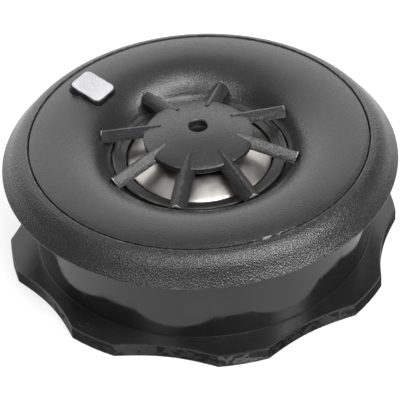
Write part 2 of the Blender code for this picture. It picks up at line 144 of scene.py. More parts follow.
class FinishNodes:
    """A material under construction: one Principled shader and the nodes that feed it."""

    def __init__(self, name: str, colour: Colour, roughness: float, metallic: float) -> None:
        """Start the material.

        Args:
            name: The material's name.
            colour: The linear base colour.
            roughness: The shader's own roughness.
            metallic: 1 for bare metal, else 0.
        """
        self.material = bpy.data.materials.new(name)
        self.material.use_nodes = True
        self.tree = self.material.node_tree
        self.shader = self.tree.nodes["Principled BSDF"]
        self.shader.inputs["Base Color"].default_value = (*colour, 1.0)
        self.shader.inputs["Roughness"].default_value = roughness
        self.shader.inputs["Metallic"].default_value = metallic
        self.material.diffuse_color = (*colour, 1.0)
        self.place = self.tree.nodes.new("ShaderNodeTexCoord").outputs["Object"]

    def link(self, source: Socket, target: Socket) -> None:
        """Join two sockets."""
        self.tree.links.new(source, target)

    def node(self, kind: str, feeds: dict[str | int, object]) -> bpy.types.Node:
        """Add a node.

        Args:
            kind: Blender's name for its type, without the leading ShaderNode.
            feeds: The socket or the value that each named or numbered input gets.

        Returns:
            The node.
        """
        node = self.tree.nodes.new(f"ShaderNode{kind}")
        for name, feed in feeds.items():
            if isinstance(feed, Socket):
                self.link(feed, node.inputs[name])
            else:
                node.inputs[name].default_value = feed
        return node

    def noise(
        self, size_mm: float, detail: float = 2.0, roughness: float = 0.5, warp: float = 0.0
    ) -> Socket:
        """Add cloudy noise.

        Args:
            size_mm: The size of one cloud.
            detail: How many finer layers it has.
            roughness: How strong the finer layers are.
            warp: How far the pattern bends itself.

        Returns:
            The factor socket, from 0 to 1.
        """
        feeds = {"Vector": self.place, "Scale": 1.0 / (size_mm * MM), "Detail": detail}
        feeds |= {"Roughness": roughness, "Distortion": warp}
        return self.node("TexNoise", feeds).outputs["Fac"]

    def cells(self, size_mm: float) -> Socket:
        """Add rounded cells of a size, and read the distance from their middles."""
        feeds = {"Vector": self.place, "Scale": 1.0 / (size_mm * MM)}
        return self.node("TexVoronoi", feeds).outputs["Distance"]

    def ranged(self, source: Socket, start: Point, end: Point) -> Socket:
        """Map a value's range to another.

        Args:
            source: The value.
            start: The lowest value read, and what it becomes.
            end: The highest value read, and what it becomes.

        Returns:
            The mapped value, kept inside its new range.
        """
        feeds = {"Value": source, "From Min": start[0], "From Max": end[0]}
        feeds |= {"To Min": start[1], "To Max": end[1]}
        return self.node("MapRange", feeds).outputs["Result"]

    def combined(self, how: str, *values: Socket) -> Socket:
        """Combine values one after another.

        Args:
            how: Blender's name for the operation.
            *values: The values.

        Returns:
            The combined value.
        """
        result = values[0]
        for value in values[1:]:
            node = self.node("Math", {0: result, 1: value})
            node.operation = how
            result = node.outputs["Value"]
        return result

    def blended(self, share: Socket, first: Colour | Socket, second: Colour | Socket) -> Socket:
        """Mix two colours.

        Args:
            share: How much of the second shows.
            first: A colour, or a socket that gives one.
            second: The other colour.

        Returns:
            The mixed colour.
        """
        node = self.node("Mix", {})
        node.data_type = "RGBA"
        self.link(share, node.inputs["Factor"])
        for name, value in (("A", first), ("B", second)):
            socket = next(item for item in node.inputs if item.name == name and item.type == "RGBA")
            if isinstance(value, tuple):
                socket.default_value = (*value, 1.0)
            else:
                self.link(value, socket)
        return next(item for item in node.outputs if item.type == "RGBA")

    def mottled(self, clouds: Socket, span: Point, first: Colour, second: Colour) -> Socket:
        """Pass from one colour to another through clouds.

        Args:
            clouds: The noise.
            span: The noise at which the first colour ends and the second is reached.
            first: The colour of the noise's low parts.
            second: The colour of its high parts.

        Returns:
            The mottled colour.
        """
        return self.blended(self.ranged(clouds, (span[0], 0.0), (span[1], 1.0)), first, second)

    def wear(self, *masks: Socket) -> Socket:
        """Read how worn the mesh's edges are, inside any masks."""
        worn = self.node("Attribute", {})
        worn.attribute_name = WEAR_ATTRIBUTE
        return self.combined("MULTIPLY", worn.outputs["Fac"], *masks)

    def length(self, vector: Socket) -> Socket:
        """Measure how long a vector is."""
        node = self.node("VectorMath", {0: vector})
        node.operation = "LENGTH"
        return node.outputs["Value"]

    def near(self, centre: Corner, reach: Corner) -> Socket:
        """Mask a soft-edged patch.

        Args:
            centre: Its middle, in millimetres.
            reach: How far it reaches along each axis, in millimetres.

        Returns:
            1 in the middle, 0 outside.
        """
        feeds = {"Vector": self.place, "Scale": [1.0 / (side * MM) for side in reach]}
        feeds["Location"] = [-at / side for at, side in zip(centre, reach)]
        place = self.node("Mapping", feeds).outputs["Vector"]
        return self.ranged(self.length(place), (0.6, 1.0), (1.0, 0.0))

    def shell(self, radius: float, half: float) -> Socket:
        """Mask a thin upright tube about the axis.

        Args:
            radius: The tube's radius, in millimetres.
            half: Half its thickness, in millimetres.

        Returns:
            1 inside the tube's wall, 0 outside.
        """
        flat = self.node("VectorMath", {0: self.place, 1: (1.0 / MM, 1.0 / MM, 0.0)})
        flat.operation = "MULTIPLY"
        away = self.length(flat.outputs["Vector"])
        core = 0.6 * half
        inner = self.ranged(away, (radius - half, 0.0), (radius - core, 1.0))
        outer = self.ranged(away, (radius + core, 1.0), (radius + half, 0.0))
        return self.combined("MULTIPLY", inner, outer)

    def bump(self, height: Socket, depth_mm: float, strength: float = 1.0) -> None:
        """Add relief on top of any relief already there.

        Args:
            height: The relief, from 0 to 1.
            depth_mm: How deep it is at full strength.
            strength: How much of it shows.
        """
        feeds = {"Distance": depth_mm * MM, "Strength": strength, "Height": height}
        normal = self.shader.inputs["Normal"]
        if normal.is_linked:
            feeds["Normal"] = normal.links[0].from_socket
        self.link(self.node("Bump", feeds).outputs["Normal"], normal)

    def paint(self, colour: Socket) -> None:
        """Give the shader its colour."""
        self.link(colour, self.shader.inputs["Base Color"])

    def polish(self, roughness: Socket) -> None:
        """Give the shader its roughness."""
        self.link(roughness, self.shader.inputs["Roughness"])


@dataclass(frozen=True)
class GrainedPlastic:
    """Black plastic moulded against a spark-eroded tool.

    The tones are the colour's multiples in its dark clouds, light clouds and the grain's raised
    peaks, which are lighter as a painted highlight. The flash is a pale line about the axis:
    moulding flash left where the tool's halves met where a patch holds it, else a painted
    highlight all round.
    """

    name: str
    colour: Colour = (0.019, 0.019, 0.0195)
    grain_mm: float = 0.30
    depth_mm: float = 0.020
    roughness: float = 0.36
    worn: Colour = (0.085, 0.085, 0.088)
    tones: Corner = (0.88, 1.14, 1.35)
    flash_and_highlight_radius: float = 0.0
    flash_and_highlight_half: float = 0.1
    flash_patch: Optional[Patch] = None

    def build(self) -> bpy.types.Material:
        """Make the material.

        Returns:
            The material.
        """
        nodes = FinishNodes(self.name, self.colour, self.roughness, 0.0)
        pebbles = nodes.noise(self.grain_mm, 1.5, 0.45)
        dark, light, highlight_tops = (scaled(self.colour, tone) for tone in self.tones)
        tone = nodes.mottled(nodes.noise(7.0, 3.0), (0.3, 0.7), dark, light)
        # Lighten the grain's raised peaks: a painted highlight.
        tone = nodes.blended(nodes.ranged(pebbles, (0.52, 0.0), (0.72, 0.6)), tone, highlight_tops)
        rubbed = nodes.ranged(nodes.noise(0.9, 3.0), (0.42, 0.0), (0.68, 0.8))
        tone = nodes.blended(nodes.wear(rubbed), tone, self.worn)
        # A pale ring about the axis: moulding flash inside a patch, else a painted highlight all
        # round.
        if self.flash_and_highlight_radius:
            masks = [nodes.shell(self.flash_and_highlight_radius, self.flash_and_highlight_half)]
            if self.flash_patch:
                masks.append(nodes.near(*self.flash_patch))
                masks.append(nodes.ranged(nodes.noise(0.7, 3.0, 0.7), (0.5, 0.0), (0.6, 1.0)))
            tone = nodes.blended(nodes.combined("MULTIPLY", *masks), tone, PALE_MARK_AND_HIGHLIGHT_COLOUR)
        nodes.paint(tone)
        dull, bright = self.roughness + 0.10, self.roughness - 0.10
        nodes.polish(nodes.ranged(pebbles, (0.3, dull), (0.75, bright)))
        nodes.bump(nodes.noise(self.grain_mm * 0.45, 1.0), self.depth_mm * 0.4)
        nodes.bump(pebbles, self.depth_mm * 2.2)
        return nodes.material


@dataclass(frozen=True)
class GlossPlastic:
    """Black plastic moulded against a polished tool, satin up to a height if it has one."""

    name: str
    colour: Colour = (0.0105, 0.0105, 0.0108)
    roughness: float = 0.12
    worn: Colour = (0.035, 0.035, 0.035)
    light_tone: float = 1.6
    scuffed_patch: Optional[Patch] = None
    satin_height: float = 0.0

    def build(self) -> bpy.types.Material:
        """Make the material.

        Returns:
            The material.
        """
        nodes = FinishNodes(self.name, self.colour, self.roughness, 0.0)
        haze = nodes.noise(1.2, 4.0, 0.65, 0.6)
        polish = nodes.ranged(haze, (0.35, self.roughness - 0.05), (0.75, self.roughness + 0.11))
        if self.satin_height:
            middle = (0.0, 0.0, 0.5 * self.satin_height)
            satin = nodes.near(middle, (60.0, 60.0, self.satin_height))
            dull = nodes.ranged(haze, (0.3, self.roughness + 0.10), (0.8, self.roughness + 0.18))
            polish = nodes.combined("MAXIMUM", polish, nodes.combined("MULTIPLY", satin, dull))
        nodes.polish(polish)
        clouds = nodes.noise(6.0, 3.0, 0.6)
        light = scaled(self.colour, self.light_tone)
        tone = nodes.mottled(clouds, (0.35, 0.7), self.colour, light)
        scuffs = nodes.ranged(nodes.noise(0.8, 4.0, 0.7), (0.66, 0.0), (0.85, 0.3))
        tone = nodes.blended(nodes.wear(scuffs), tone, self.worn)
        if self.scuffed_patch:
            rags = nodes.ranged(nodes.noise(0.3, 4.0, 0.8, 2.0), (0.60, 0.0), (0.66, 0.8))
            rags = nodes.combined("MULTIPLY", rags, nodes.near(*self.scuffed_patch))
            tone = nodes.blended(rags, tone, PALE_MARK_AND_HIGHLIGHT_COLOUR)
        nodes.paint(tone)
        nodes.bump(clouds, 0.05, 0.35)
        return nodes.material


@dataclass(frozen=True)
class SatinFoil:
    """Pressed metal foil with a faint drawn texture, or a wire or film like it.

    The haze is its size, detail and roughness. The tones are the colour's multiples at the ends
    of the haze's span, and the gloss is what the roughness gains there.
    """

    name: str
    colour: Colour
    roughness: float = 0.33
    grit_depth_mm: float = 0.0012
    grit_mm: float = 0.10
    metallic: float = 1.0
    haze: Corner = (1.6, 3.0, 0.55)
    span: Point = (0.3, 0.7)
    tones: Point = (0.93, 1.05)
    gloss: Point = (-0.03, 0.06)
    worn_tone: float = 0.0

    def build(self) -> bpy.types.Material:
        """Make the material.

        Returns:
            The material.
        """
        nodes = FinishNodes(self.name, self.colour, self.roughness, self.metallic)
        haze = nodes.noise(*self.haze)
        tone = nodes.mottled(haze, self.span, *(scaled(self.colour, part) for part in self.tones))
        if self.worn_tone:
            tone = nodes.blended(nodes.wear(), tone, scaled(self.colour, self.worn_tone))
        nodes.paint(tone)
        low, high = (self.roughness + gain for gain in self.gloss)
        nodes.polish(nodes.ranged(haze, (0.3, low), (0.7, high)))
        nodes.bump(nodes.noise(self.grit_mm), self.grit_depth_mm)
        return nodes.material


@dataclass(frozen=True)
class PlatedMetal(SatinFoil):
    """Turned or pressed metal under a thin plating."""

    grit_depth_mm: float = 0.0035
    grit_mm: float = 0.16
    haze: Corner = (2.4, 4.0, 0.6)
    span: Point = (0.35, 0.68)
    tones: Point = (1.0, 0.80)
    gloss: Point = (-0.06, 0.10)
    worn_tone: float = 1.25


@dataclass(frozen=True)
class WoundWire(SatinFoil):
    """Enamelled copper, unevenly darkened."""

    roughness: float = 0.3
    grit_depth_mm: float = 0.002
    grit_mm: float = 0.08
    haze: Corner = (0.7, 3.0, 0.5)
    span: Point = (0.35, 0.7)
    tones: Point = (1.0, 0.62)
    gloss: Point = (-0.08, 0.12)


@dataclass(frozen=True)
class CoatedFilm(SatinFoil):
    """Amber polyimide film."""

    roughness: float = 0.28
    grit_depth_mm: float = 0.002
    grit_mm: float = 0.12
    metallic: float = 0.0
    haze: Corner = (1.5, 3.0, 0.5)
    tones: Point = (1.0, 1.3)
    gloss: Point = (-0.08, 0.10)


@dataclass(frozen=True)
class SoftMatter:
    """Rubber, foam, felt or board: a matt body with a texture of its own."""

    name: str
    colour: Colour
    grain_mm: float
    depth_mm: float
    contrast: float = 0.25
    roughness: float = 0.85

    def build(self) -> bpy.types.Material:
        """Make the material.

        Returns:
            The material.
        """
        nodes = FinishNodes(self.name, self.colour, self.roughness, 0.0)
        pores = nodes.cells(self.grain_mm)
        clouds = nodes.noise(self.grain_mm * 9.0, 3.0)
        dark = scaled(self.colour, 1.0 - self.contrast)
        light = scaled(self.colour, 1.0 + self.contrast)
        tone = nodes.mottled(clouds, (0.3, 0.7), dark, light)
        nodes.paint(nodes.blended(nodes.ranged(pores, (0.1, 0.0), (0.7, 0.7)), tone, dark))
        low, high = self.roughness - 0.06, self.roughness + 0.06
        nodes.polish(nodes.ranged(clouds, (0.3, low), (0.7, high)))
        nodes.bump(pores, self.depth_mm)
        return nodes.material


class Finishes:
    """The finishes this object needs, each made once."""

    def __init__(self) -> None:
        """Make every finish."""
        self.bezel = GrainedPlastic(
            "bezel_fine_grain",
            grain_mm=0.18,
            depth_mm=0.017,
            roughness=0.25,
            flash_and_highlight_radius=22.66,
            flash_and_highlight_half=0.16,
            flash_patch=((-11.5, -19.7, 17.3), (3.6, 3.0, 1.0)),
        ).build()
        self.trim = GrainedPlastic(
            "trim_coarse_grain", grain_mm=0.21, depth_mm=0.034, roughness=0.27
        ).build()
        self.fins = GrainedPlastic(
            "diffuser_grain",
            grain_mm=0.17,
            depth_mm=0.03,
            roughness=0.24,
            worn=(0.05, 0.05, 0.052),
            # A painted highlight: a pale ring where the fins meet the bowl.
            flash_and_highlight_radius=13.5,
            flash_and_highlight_half=0.14,
        ).build()
        self.face = GrainedPlastic("faceplate_grain", (0.014, 0.0135, 0.013), 0.24, 0.02).build()
        self.badge_side = GrainedPlastic("badge_side", (0.010, 0.010, 0.011), 0.2, 0.006).build()
        self.badge_print = GrainedPlastic(
            "badge_print", (0.46, 0.455, 0.475), 0.22, 0.005, 0.45, (0.62, 0.62, 0.64)
        ).build()
        self.gloss = GlossPlastic(
            "lock_nut_gloss", scuffed_patch=((-25.2, 1.0, 2.05), (0.7, 1.7, 0.5)), satin_height=2.2
        ).build()
        self.housing = GlossPlastic("housing_satin", (0.008, 0.008, 0.0085), 0.28).build()
        self.nylon = GlossPlastic("washer_nylon", (0.016, 0.016, 0.017), 0.36).build()
        self.foil = SatinFoil("dome_foil", (0.48, 0.46, 0.432)).build()
        self.zinc = PlatedMetal("zinc_plate", (0.50, 0.50, 0.51), 0.32).build()
        self.nickel = PlatedMetal("nickel_plate", (0.62, 0.60, 0.55), 0.2, 0.0015).build()
        self.brass = PlatedMetal("brass_sheet", (0.72, 0.50, 0.20), 0.28).build()
        self.wire = WoundWire("coil_wire", (0.72, 0.28, 0.11)).build()
        self.film = CoatedFilm("former_film", (0.40, 0.15, 0.03)).build()
        self.rubber = SoftMatter("surround_rubber", (0.022, 0.022, 0.022), 0.12, 0.01).build()
        self.foam = SoftMatter("chamber_foam", (0.045, 0.045, 0.048), 0.45, 0.16, 0.4, 0.95).build()
        self.felt = SoftMatter("pole_felt", (0.17, 0.17, 0.18), 0.22, 0.07, 0.35, 0.95).build()
        self.board = SoftMatter("fibre_board", (0.19, 0.095, 0.04), 0.3, 0.008, 0.2, 0.6).build()


# ---------------------------------------------------------------- shaping


def between(start: float, end: float, share: float) -> float:
    """Step from start to end by a share of the way."""
    return start + (end - start) * share


def stepped(radius: float, height: float, steps: Sequence[Point]) -> list[Point]:
    """Step inwards and down from one point to each of the others."""
    return [(radius - inwards, height - down) for inwards, down in steps]


def passing(a: float, b: float, c: float, d: float, share: float) -> float:
    """Find a smooth curve's value between b and c, with a before them and d after."""
    square = (2 * a - 5 * b + 4 * c - d) * share**2
    cube = (3 * b - a - 3 * c + d) * share**3
    return 0.5 * (2 * b + (c - a) * share + square + cube)


def flowing(points: Sequence[Point], steps: int = 8) -> list[Point]:
    """Run a smooth curve through points.

    Args:
        points: The points it passes through.
        steps: How many pieces each span is cut into.

    Returns:
        The points of the curve, ends included.
    """
    ends = [
        (2 * points[0][0] - points[1][0], 2 * points[0][1] - points[1][1]),
        *points,
        (2 * points[-1][0] - points[-2][0], 2 * points[-1][1] - points[-2][1]),
    ]
    run: list[Point] = []
    for neighbours in zip(ends, ends[1:], ends[2:], ends[3:]):
        radii, heights = zip(*neighbours)
        for step in range(steps):
            run.append((passing(*radii, step / steps), passing(*heights, step / steps)))
    run.append(points[-1])
    return run


def softened(corners: Sequence[Corner], steps: int = 4, closed: bool = True) -> list[Point]:
    """Round the corners of an outline.

    Args:
        corners: Radius, height and rounding of each corner.
        steps: How many pieces each rounding is cut into.
        closed: Whether the last corner joins the first.

    Returns:
        The rounded outline.
    """
    outline: list[Point] = []
    count = len(corners)
    for index, (radius, height, rounding) in enumerate(corners):
        here = Vector((radius, height))
        is_end = not closed and index in (0, count - 1)
        if rounding <= 0.0 or is_end:
            outline.append((radius, height))
            continue
        back = Vector(corners[index - 1][:2]) - here
        ahead = Vector(corners[(index + 1) % count][:2]) - here
        wanted = rounding / math.tan(back.angle(ahead) / 2.0)
        reach = min(wanted, 0.48 * back.length, 0.48 * ahead.length)
        start, end = here + back.normalized() * reach, here + ahead.normalized() * reach
        for step in range(steps + 1):
            share = step / steps
            outline.append(tuple(start.lerp(here, share).lerp(here.lerp(end, share), share)))
    return outline


def ring_outline(extent: Extent, width: float, rounding: float) -> list[Point]:
    """Outline a plain ring.

    Args:
        extent: The ring's extent.
        width: How wide it is from its outside to its hole.
        rounding: The rounding of its edges.

    Returns:
        The rounded outline.
    """
    outer, inner = extent.radius, extent.radius - width
    high, low = extent.high.z, extent.low.z
    corners = ((outer, high), (outer, low), (inner, low), (inner, high))
    return softened([(*corner, rounding) for corner in corners])


def supported(outline: Sequence[Point], closed: bool) -> list[Point]:
    """Hold each long straight span flat with a point close to either end.

    Args:
        outline: Radius and height of each point.
        closed: Whether the last point joins the first.

    Returns:
        The outline with the extra points.
    """
    held: list[Point] = []
    for index, start in enumerate(outline):
        held.append(start)
        if not closed and index == len(outline) - 1:
            break
        here, there = Vector(start), Vector(outline[(index + 1) % len(outline)])
        length = (there - here).length
        if length > LONG_SPAN_MM:
            near = SUPPORT_MM / length
            held += [tuple(here.lerp(there, near)), tuple(here.lerp(there, 1.0 - near))]
    return held


def turned(outline: Sequence[Point], steps: Steps, closed: bool = True) -> Shape:
    """Turn an outline about the speaker's axis.

    Args:
        outline: Radius and height of each point.
        steps: How many steps go round.
        closed: Whether the outline closes on itself, as a ring's does.

    Returns:
        The closed solid.
    """
    shape = bmesh.new()
    verts = [shape.verts.new((reach, 0.0, height)) for reach, height in supported(outline, closed)]
    for first, second in zip(verts, verts[1:]):
        shape.edges.new((first, second))
    if closed:
        shape.edges.new((verts[-1], verts[0]))
    bmesh.ops.spin(
        shape,
        geom=shape.verts[:] + shape.edges[:],
        cent=CENTRE,
        axis=UP,
        angle=math.tau,
        steps=steps.value,
        use_merge=True,
    )
    return tidy(shape)


def rod(radius: float, high: float, low: float, steps: Steps) -> Shape:
    """Turn a plain rod on the axis, for cutting a hole."""
    corners = [(0.0, high), (radius, high), (radius, low), (0.0, low)]
    return turned(corners, steps, False)


def tidy(shape: Shape) -> Shape:
    """Merge a shape's doubles and turn its faces outwards."""
    bmesh.ops.remove_doubles(shape, verts=shape.verts, dist=MERGE_MM)
    bmesh.ops.recalc_face_normals(shape, faces=shape.faces)
    return shape


def swept(
    corners: Sequence[Point], start: float, angle: float, steps: int, rise: float = 0.0
) -> Shape:
    """Sweep a face round the axis.

    Args:
        corners: Radius and height of the face's corners.
        start: Where the sweep starts, in degrees.
        angle: How far it goes, in degrees.
        steps: How many steps it takes.
        rise: How far each step climbs.

    Returns:
        The closed solid.
    """
    shape = bmesh.new()
    shape.faces.new([shape.verts.new((radius, 0.0, height)) for radius, height in corners])
    turn(shape, start)
    bmesh.ops.spin(
        shape,
        geom=shape.verts[:] + shape.edges[:] + shape.faces[:],
        cent=CENTRE,
        axis=UP,
        dvec=UP * rise,
        angle=math.radians(angle),
        steps=steps,
    )
    return tidy(shape)


def turn(shape: Shape, degrees: float, axis: str = "Z") -> None:
    """Turn a shape about an axis through the centre."""
    matrix = Matrix.Rotation(math.radians(degrees), 3, axis)
    bmesh.ops.rotate(shape, cent=CENTRE, matrix=matrix, verts=shape.verts)


def block(size: Vector, middle: Vector) -> Shape:
    """Make a plain block.

    Args:
        size: Its length along each axis.
        middle: Where its middle lies.

    Returns:
        The block.
    """
    shape = bmesh.new()
    bmesh.ops.create_cube(shape, size=1.0)
    bmesh.ops.scale(shape, vec=size, verts=shape.verts)
    bmesh.ops.translate(shape, vec=middle, verts=shape.verts)
    return shape


def rounded_edges(shape: Shape, edges: Iterable[Edge], offset: float, segments: int = 3) -> None:
    """Round some edges of a shape.

    Args:
        shape: The shape.
        edges: Its edges to round.
        offset: How far the rounding reaches from each edge.
        segments: How many pieces it is cut into.
    """
    bmesh.ops.bevel(
        shape,
        geom=list(edges),
        offset=offset,
        segments=segments,
        profile=0.5,
        affect="EDGES",
        material=-1,
        clamp_overlap=True,
    )


def sharp_edges(shape: Shape, degrees: float) -> list[Edge]:
    """Find the edges that turn by more than an angle."""
    return [edge for edge in shape.edges if edge.calc_face_angle(0.0) > math.radians(degrees)]


def edges_along(shape: Shape, axis: int) -> list[Edge]:
    """Find the edges that run along one numbered axis."""
    ends = [(edge, [vert.co[axis] for vert in edge.verts]) for edge in shape.edges]
    return [edge for edge, (start, end) in ends if abs(start - end) > LONG_EDGE_MM]


@dataclass(frozen=True)
class Thread:
    """One right-handed thread ridge, whose tip lies inside or outside its wall."""

    root: float
    tip: float
    start: float
    turns: float
    pitch: float = 3.0
    half_at_wall: float = 0.55
    half_at_tip: float = 0.3
    buried: float = 0.3
    per_turn: int = 72

    def wound(self) -> Shape:
        """Wind the ridge.

        Returns:
            The closed solid, buried a little in its wall.
        """
        inside = self.root + math.copysign(self.buried, self.root - self.tip)
        crown = between(self.tip, self.root, 0.12)
        wall, shoulder, flat = self.half_at_wall, self.half_at_tip + 0.04, self.half_at_tip - 0.08
        half = [(inside, wall), (self.root, wall), (crown, shoulder), (self.tip, flat)]
        corners = [(radius, self.start - reach) for radius, reach in half]
        corners += [(radius, self.start + reach) for radius, reach in reversed(half)]
        steps = round(self.per_turn * self.turns)
        return swept(corners, 0.0, 360.0 * self.turns, steps, self.pitch / self.per_turn)


@dataclass(frozen=True)
class Bayonet:
    """Chamfered blocks round a wall, which slide behind others when the tweeter is turned."""

    root: float
    reach: float
    heights: Point
    span: float
    chamfer: float
    steps: int
    angles: tuple[float, ...] = (60.0, 180.0, 300.0)

    def blocks(self) -> list[tuple[Join, Shape]]:
        """Make the blocks.

        Returns:
            Each block, to be joined to its wall.
        """
        low, high = self.heights
        shoulder = self.reach + math.copysign(self.chamfer, self.root - self.reach)
        corners = [
            (self.root, high),
            (shoulder, high),
            (self.reach, high - self.chamfer),
            (self.reach, low + self.chamfer),
            (shoulder, low),
            (self.root, low),
        ]
        starts = [angle - self.span / 2.0 for angle in self.angles]
        return [(Join.UNITE, swept(corners, start, self.span, self.steps)) for start in starts]


def as_object(name: str, shape: Shape) -> bpy.types.Object:
    """Turn a shape in millimetres into a linked object in metres.

    Args:
        name: The object's name.
        shape: The shape, which is used up.

    Returns:
        The object.
    """
    bmesh.ops.scale(shape, vec=Vector((MM, MM, MM)), verts=shape.verts)
    mesh = bpy.data.meshes.new(name)
    shape.to_mesh(mesh)
    shape.free()
    made = bpy.data.objects.new(name, mesh)
    bpy.context.scene.collection.objects.link(made)
    return made


def worked(name: str, first: Shape, others: Work) -> bpy.types.Object:
    """Join or cut one solid with others, in order.

    Args:
        name: The finished object's name.
        first: The solid that is worked on.
        others: What is done to it, and with which solid.

    Returns:
        The finished object.
    """
    made = as_object(name, first)
    tools = []
    for index, (join, shape) in enumerate(others):
        tool = as_object(f"{name}_tool_{index}", shape)
        change = made.modifiers.new(f"{join.name}_{index}", "BOOLEAN")
        change.operation = join.value
        change.solver = "EXACT"
        change.object = tool
        tools.append(tool)
    graph = bpy.context.evaluated_depsgraph_get()
    settled = bpy.data.meshes.new_from_object(made.evaluated_get(graph))
    made.modifiers.clear()
    made.data = settled
    settled.name = name
    for tool in tools:
        bpy.data.objects.remove(tool, do_unlink=True)
    return made


def mark_wear(mesh: bpy.types.Mesh, tightest_mm: float = 0.35) -> None:
    """Store how sharply each point's edges stand out, for the finishes to wear.

    Args:
        mesh: The finished mesh.
        tightest_mm: The rounding that counts as fully worn.
    """
    shape = bmesh.new()
    shape.from_mesh(mesh)
    worn = []
    for vert in shape.verts:
        sharpest = 0.0
        for edge in vert.link_edges:
            if len(edge.link_faces) == 2:
                sides = [face.calc_center_median() for face in edge.link_faces]
                apart = max((sides[0] - sides[1]).length / MM, 0.02)
                sharpest = max(sharpest, edge.calc_face_angle_signed(0.0) / apart)
        worn.append(min(1.0, sharpest * tightest_mm))
    shape.free()
    layer = mesh.attributes.new(WEAR_ATTRIBUTE, "FLOAT", "POINT")
    layer.data.foreach_set("value", worn)


class Bench:
    """Finishes pieces and hands them to the frame."""

    def __init__(self, finishes: Finishes) -> None:
        """Read which body and slot each node has.

        Args:
            finishes: The finishes that pieces are given.
        """
        self.finishes = finishes
        record = frame["record"]
        bodies = record["behaviour"]["bodies"]
        self.bodies = {node: body for body, nodes in bodies.items() for node in nodes}
        self.slots = {part["node"]: part["material_slot"] for part in record["subparts"]}

    def hand_over(
        self,
        name: str,
        node: str,
        shape: Shape,
        *finishes: bpy.types.Material,
        work: Work = (),
        crease: float = 35.0,
        rides: bool = True,
    ) -> bpy.types.Object:
        """Make a piece of a shape, then shade, dress and place it.

        Args:
            name: The piece's name.
            node: The frame's node it stands for.
            shape: Its first solid.
            *finishes: Its materials, in slot order.
            work: What is joined to the first solid or cut from it.
            crease: Edges that turn further than this many degrees stay crisp.
            rides: Whether it rides on the node's own body.

        Returns:
            The piece.
        """
        piece = worked(name, shape, work) if work else as_object(name, shape)
        mesh = piece.data
        for finish in finishes:
            mesh.materials.append(finish)
        mesh.shade_smooth()
        mesh.set_sharp_from_angle(angle=math.radians(crease))
        mark_wear(mesh)
        if rides:
            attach(piece, self.bodies[node])
        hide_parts(node)
        LOG.info("%s: %d faces", piece.name, len(mesh.polygons))
        return piece


@dataclass
class Assembly:
    """A group of pieces that are made together at one bench."""

    bench: Bench

    def build(self) -> None:
        """Make every piece of the group."""
        raise NotImplementedError


# ---------------------------------------------------------------- the cup and its nut


@dataclass
class MountingCup(Assembly):
    """The cup that the tweeter locks into: trim ring, threaded barrel and bayonet ledges."""

    barrel_outer: float = 20.5
    barrel_inner: float = 19.5
    recess_radius: float = 22.88
    recess_floor: float = 16.2
    trim_back: float = 13.65
    land_inner: float = 23.2
    relief_back: float = 14.7
    stop_ledge: Point = (17.8, 1.8)
    brow: tuple[Point, ...] = (
        (2.70, 0.40), (1.75, 1.22), (0.82, 2.42), (0.22, 3.16), (0.03, 3.42)
    )
    thread: Thread = Thread(root=20.5, tip=21.2, start=2.6, turns=3.0)
    ledges: Bayonet = Bayonet(19.8, 18.85, (8.5, 9.7), span=22.0, chamfer=0.12, steps=12)

    def outline(self, extent: Extent) -> list[Point]:
        """Work out the cup's section.

        Args:
            extent: The cup's extent.

        Returns:
            Radius and height of each point.
        """
        rim, top, end = extent.radius, extent.high.z, extent.low.z
        recess = self.recess_radius
        brow = [(recess + 0.30, top - 0.05), *stepped(rim, top, self.brow)]
        brow = flowing([*brow, (rim - 0.10, self.trim_back + 0.07)])
        rest = softened(
            [
                (rim - 0.30, self.trim_back, 0.0),
                (self.land_inner, self.trim_back, 0.2),
                (self.land_inner, self.relief_back, 0.3),
                (self.barrel_outer, self.relief_back, 0.2),
                (self.barrel_outer, end + 0.4, 0.1),
                (self.barrel_outer - 0.35, end, 0.1),
                (self.stop_ledge[0], end, 0.15),
                (*self.stop_ledge, 0.15),
                (self.barrel_inner, self.stop_ledge[1], 0.1),
                (self.barrel_inner, self.recess_floor, 0.1),
                (recess, self.recess_floor, 0.1),
                (recess, top - 0.16, 0.0),
            ],
            closed=False,
        )
        return brow + rest + [(recess + 0.04, top - 0.06), (recess + 0.14, top - 0.005)]

    def build(self) -> None:
        """Turn the cup, wind its thread and add its ledges."""
        cup = turned(self.outline(Extent.of("mounting_cup")), Steps.WIDE)
        work = [(Join.UNITE, self.thread.wound()), *self.ledges.blocks()]
        trim = self.bench.finishes.trim
        self.bench.hand_over("cup_with_trim_ring", "mounting_cup", cup, trim, work=work)


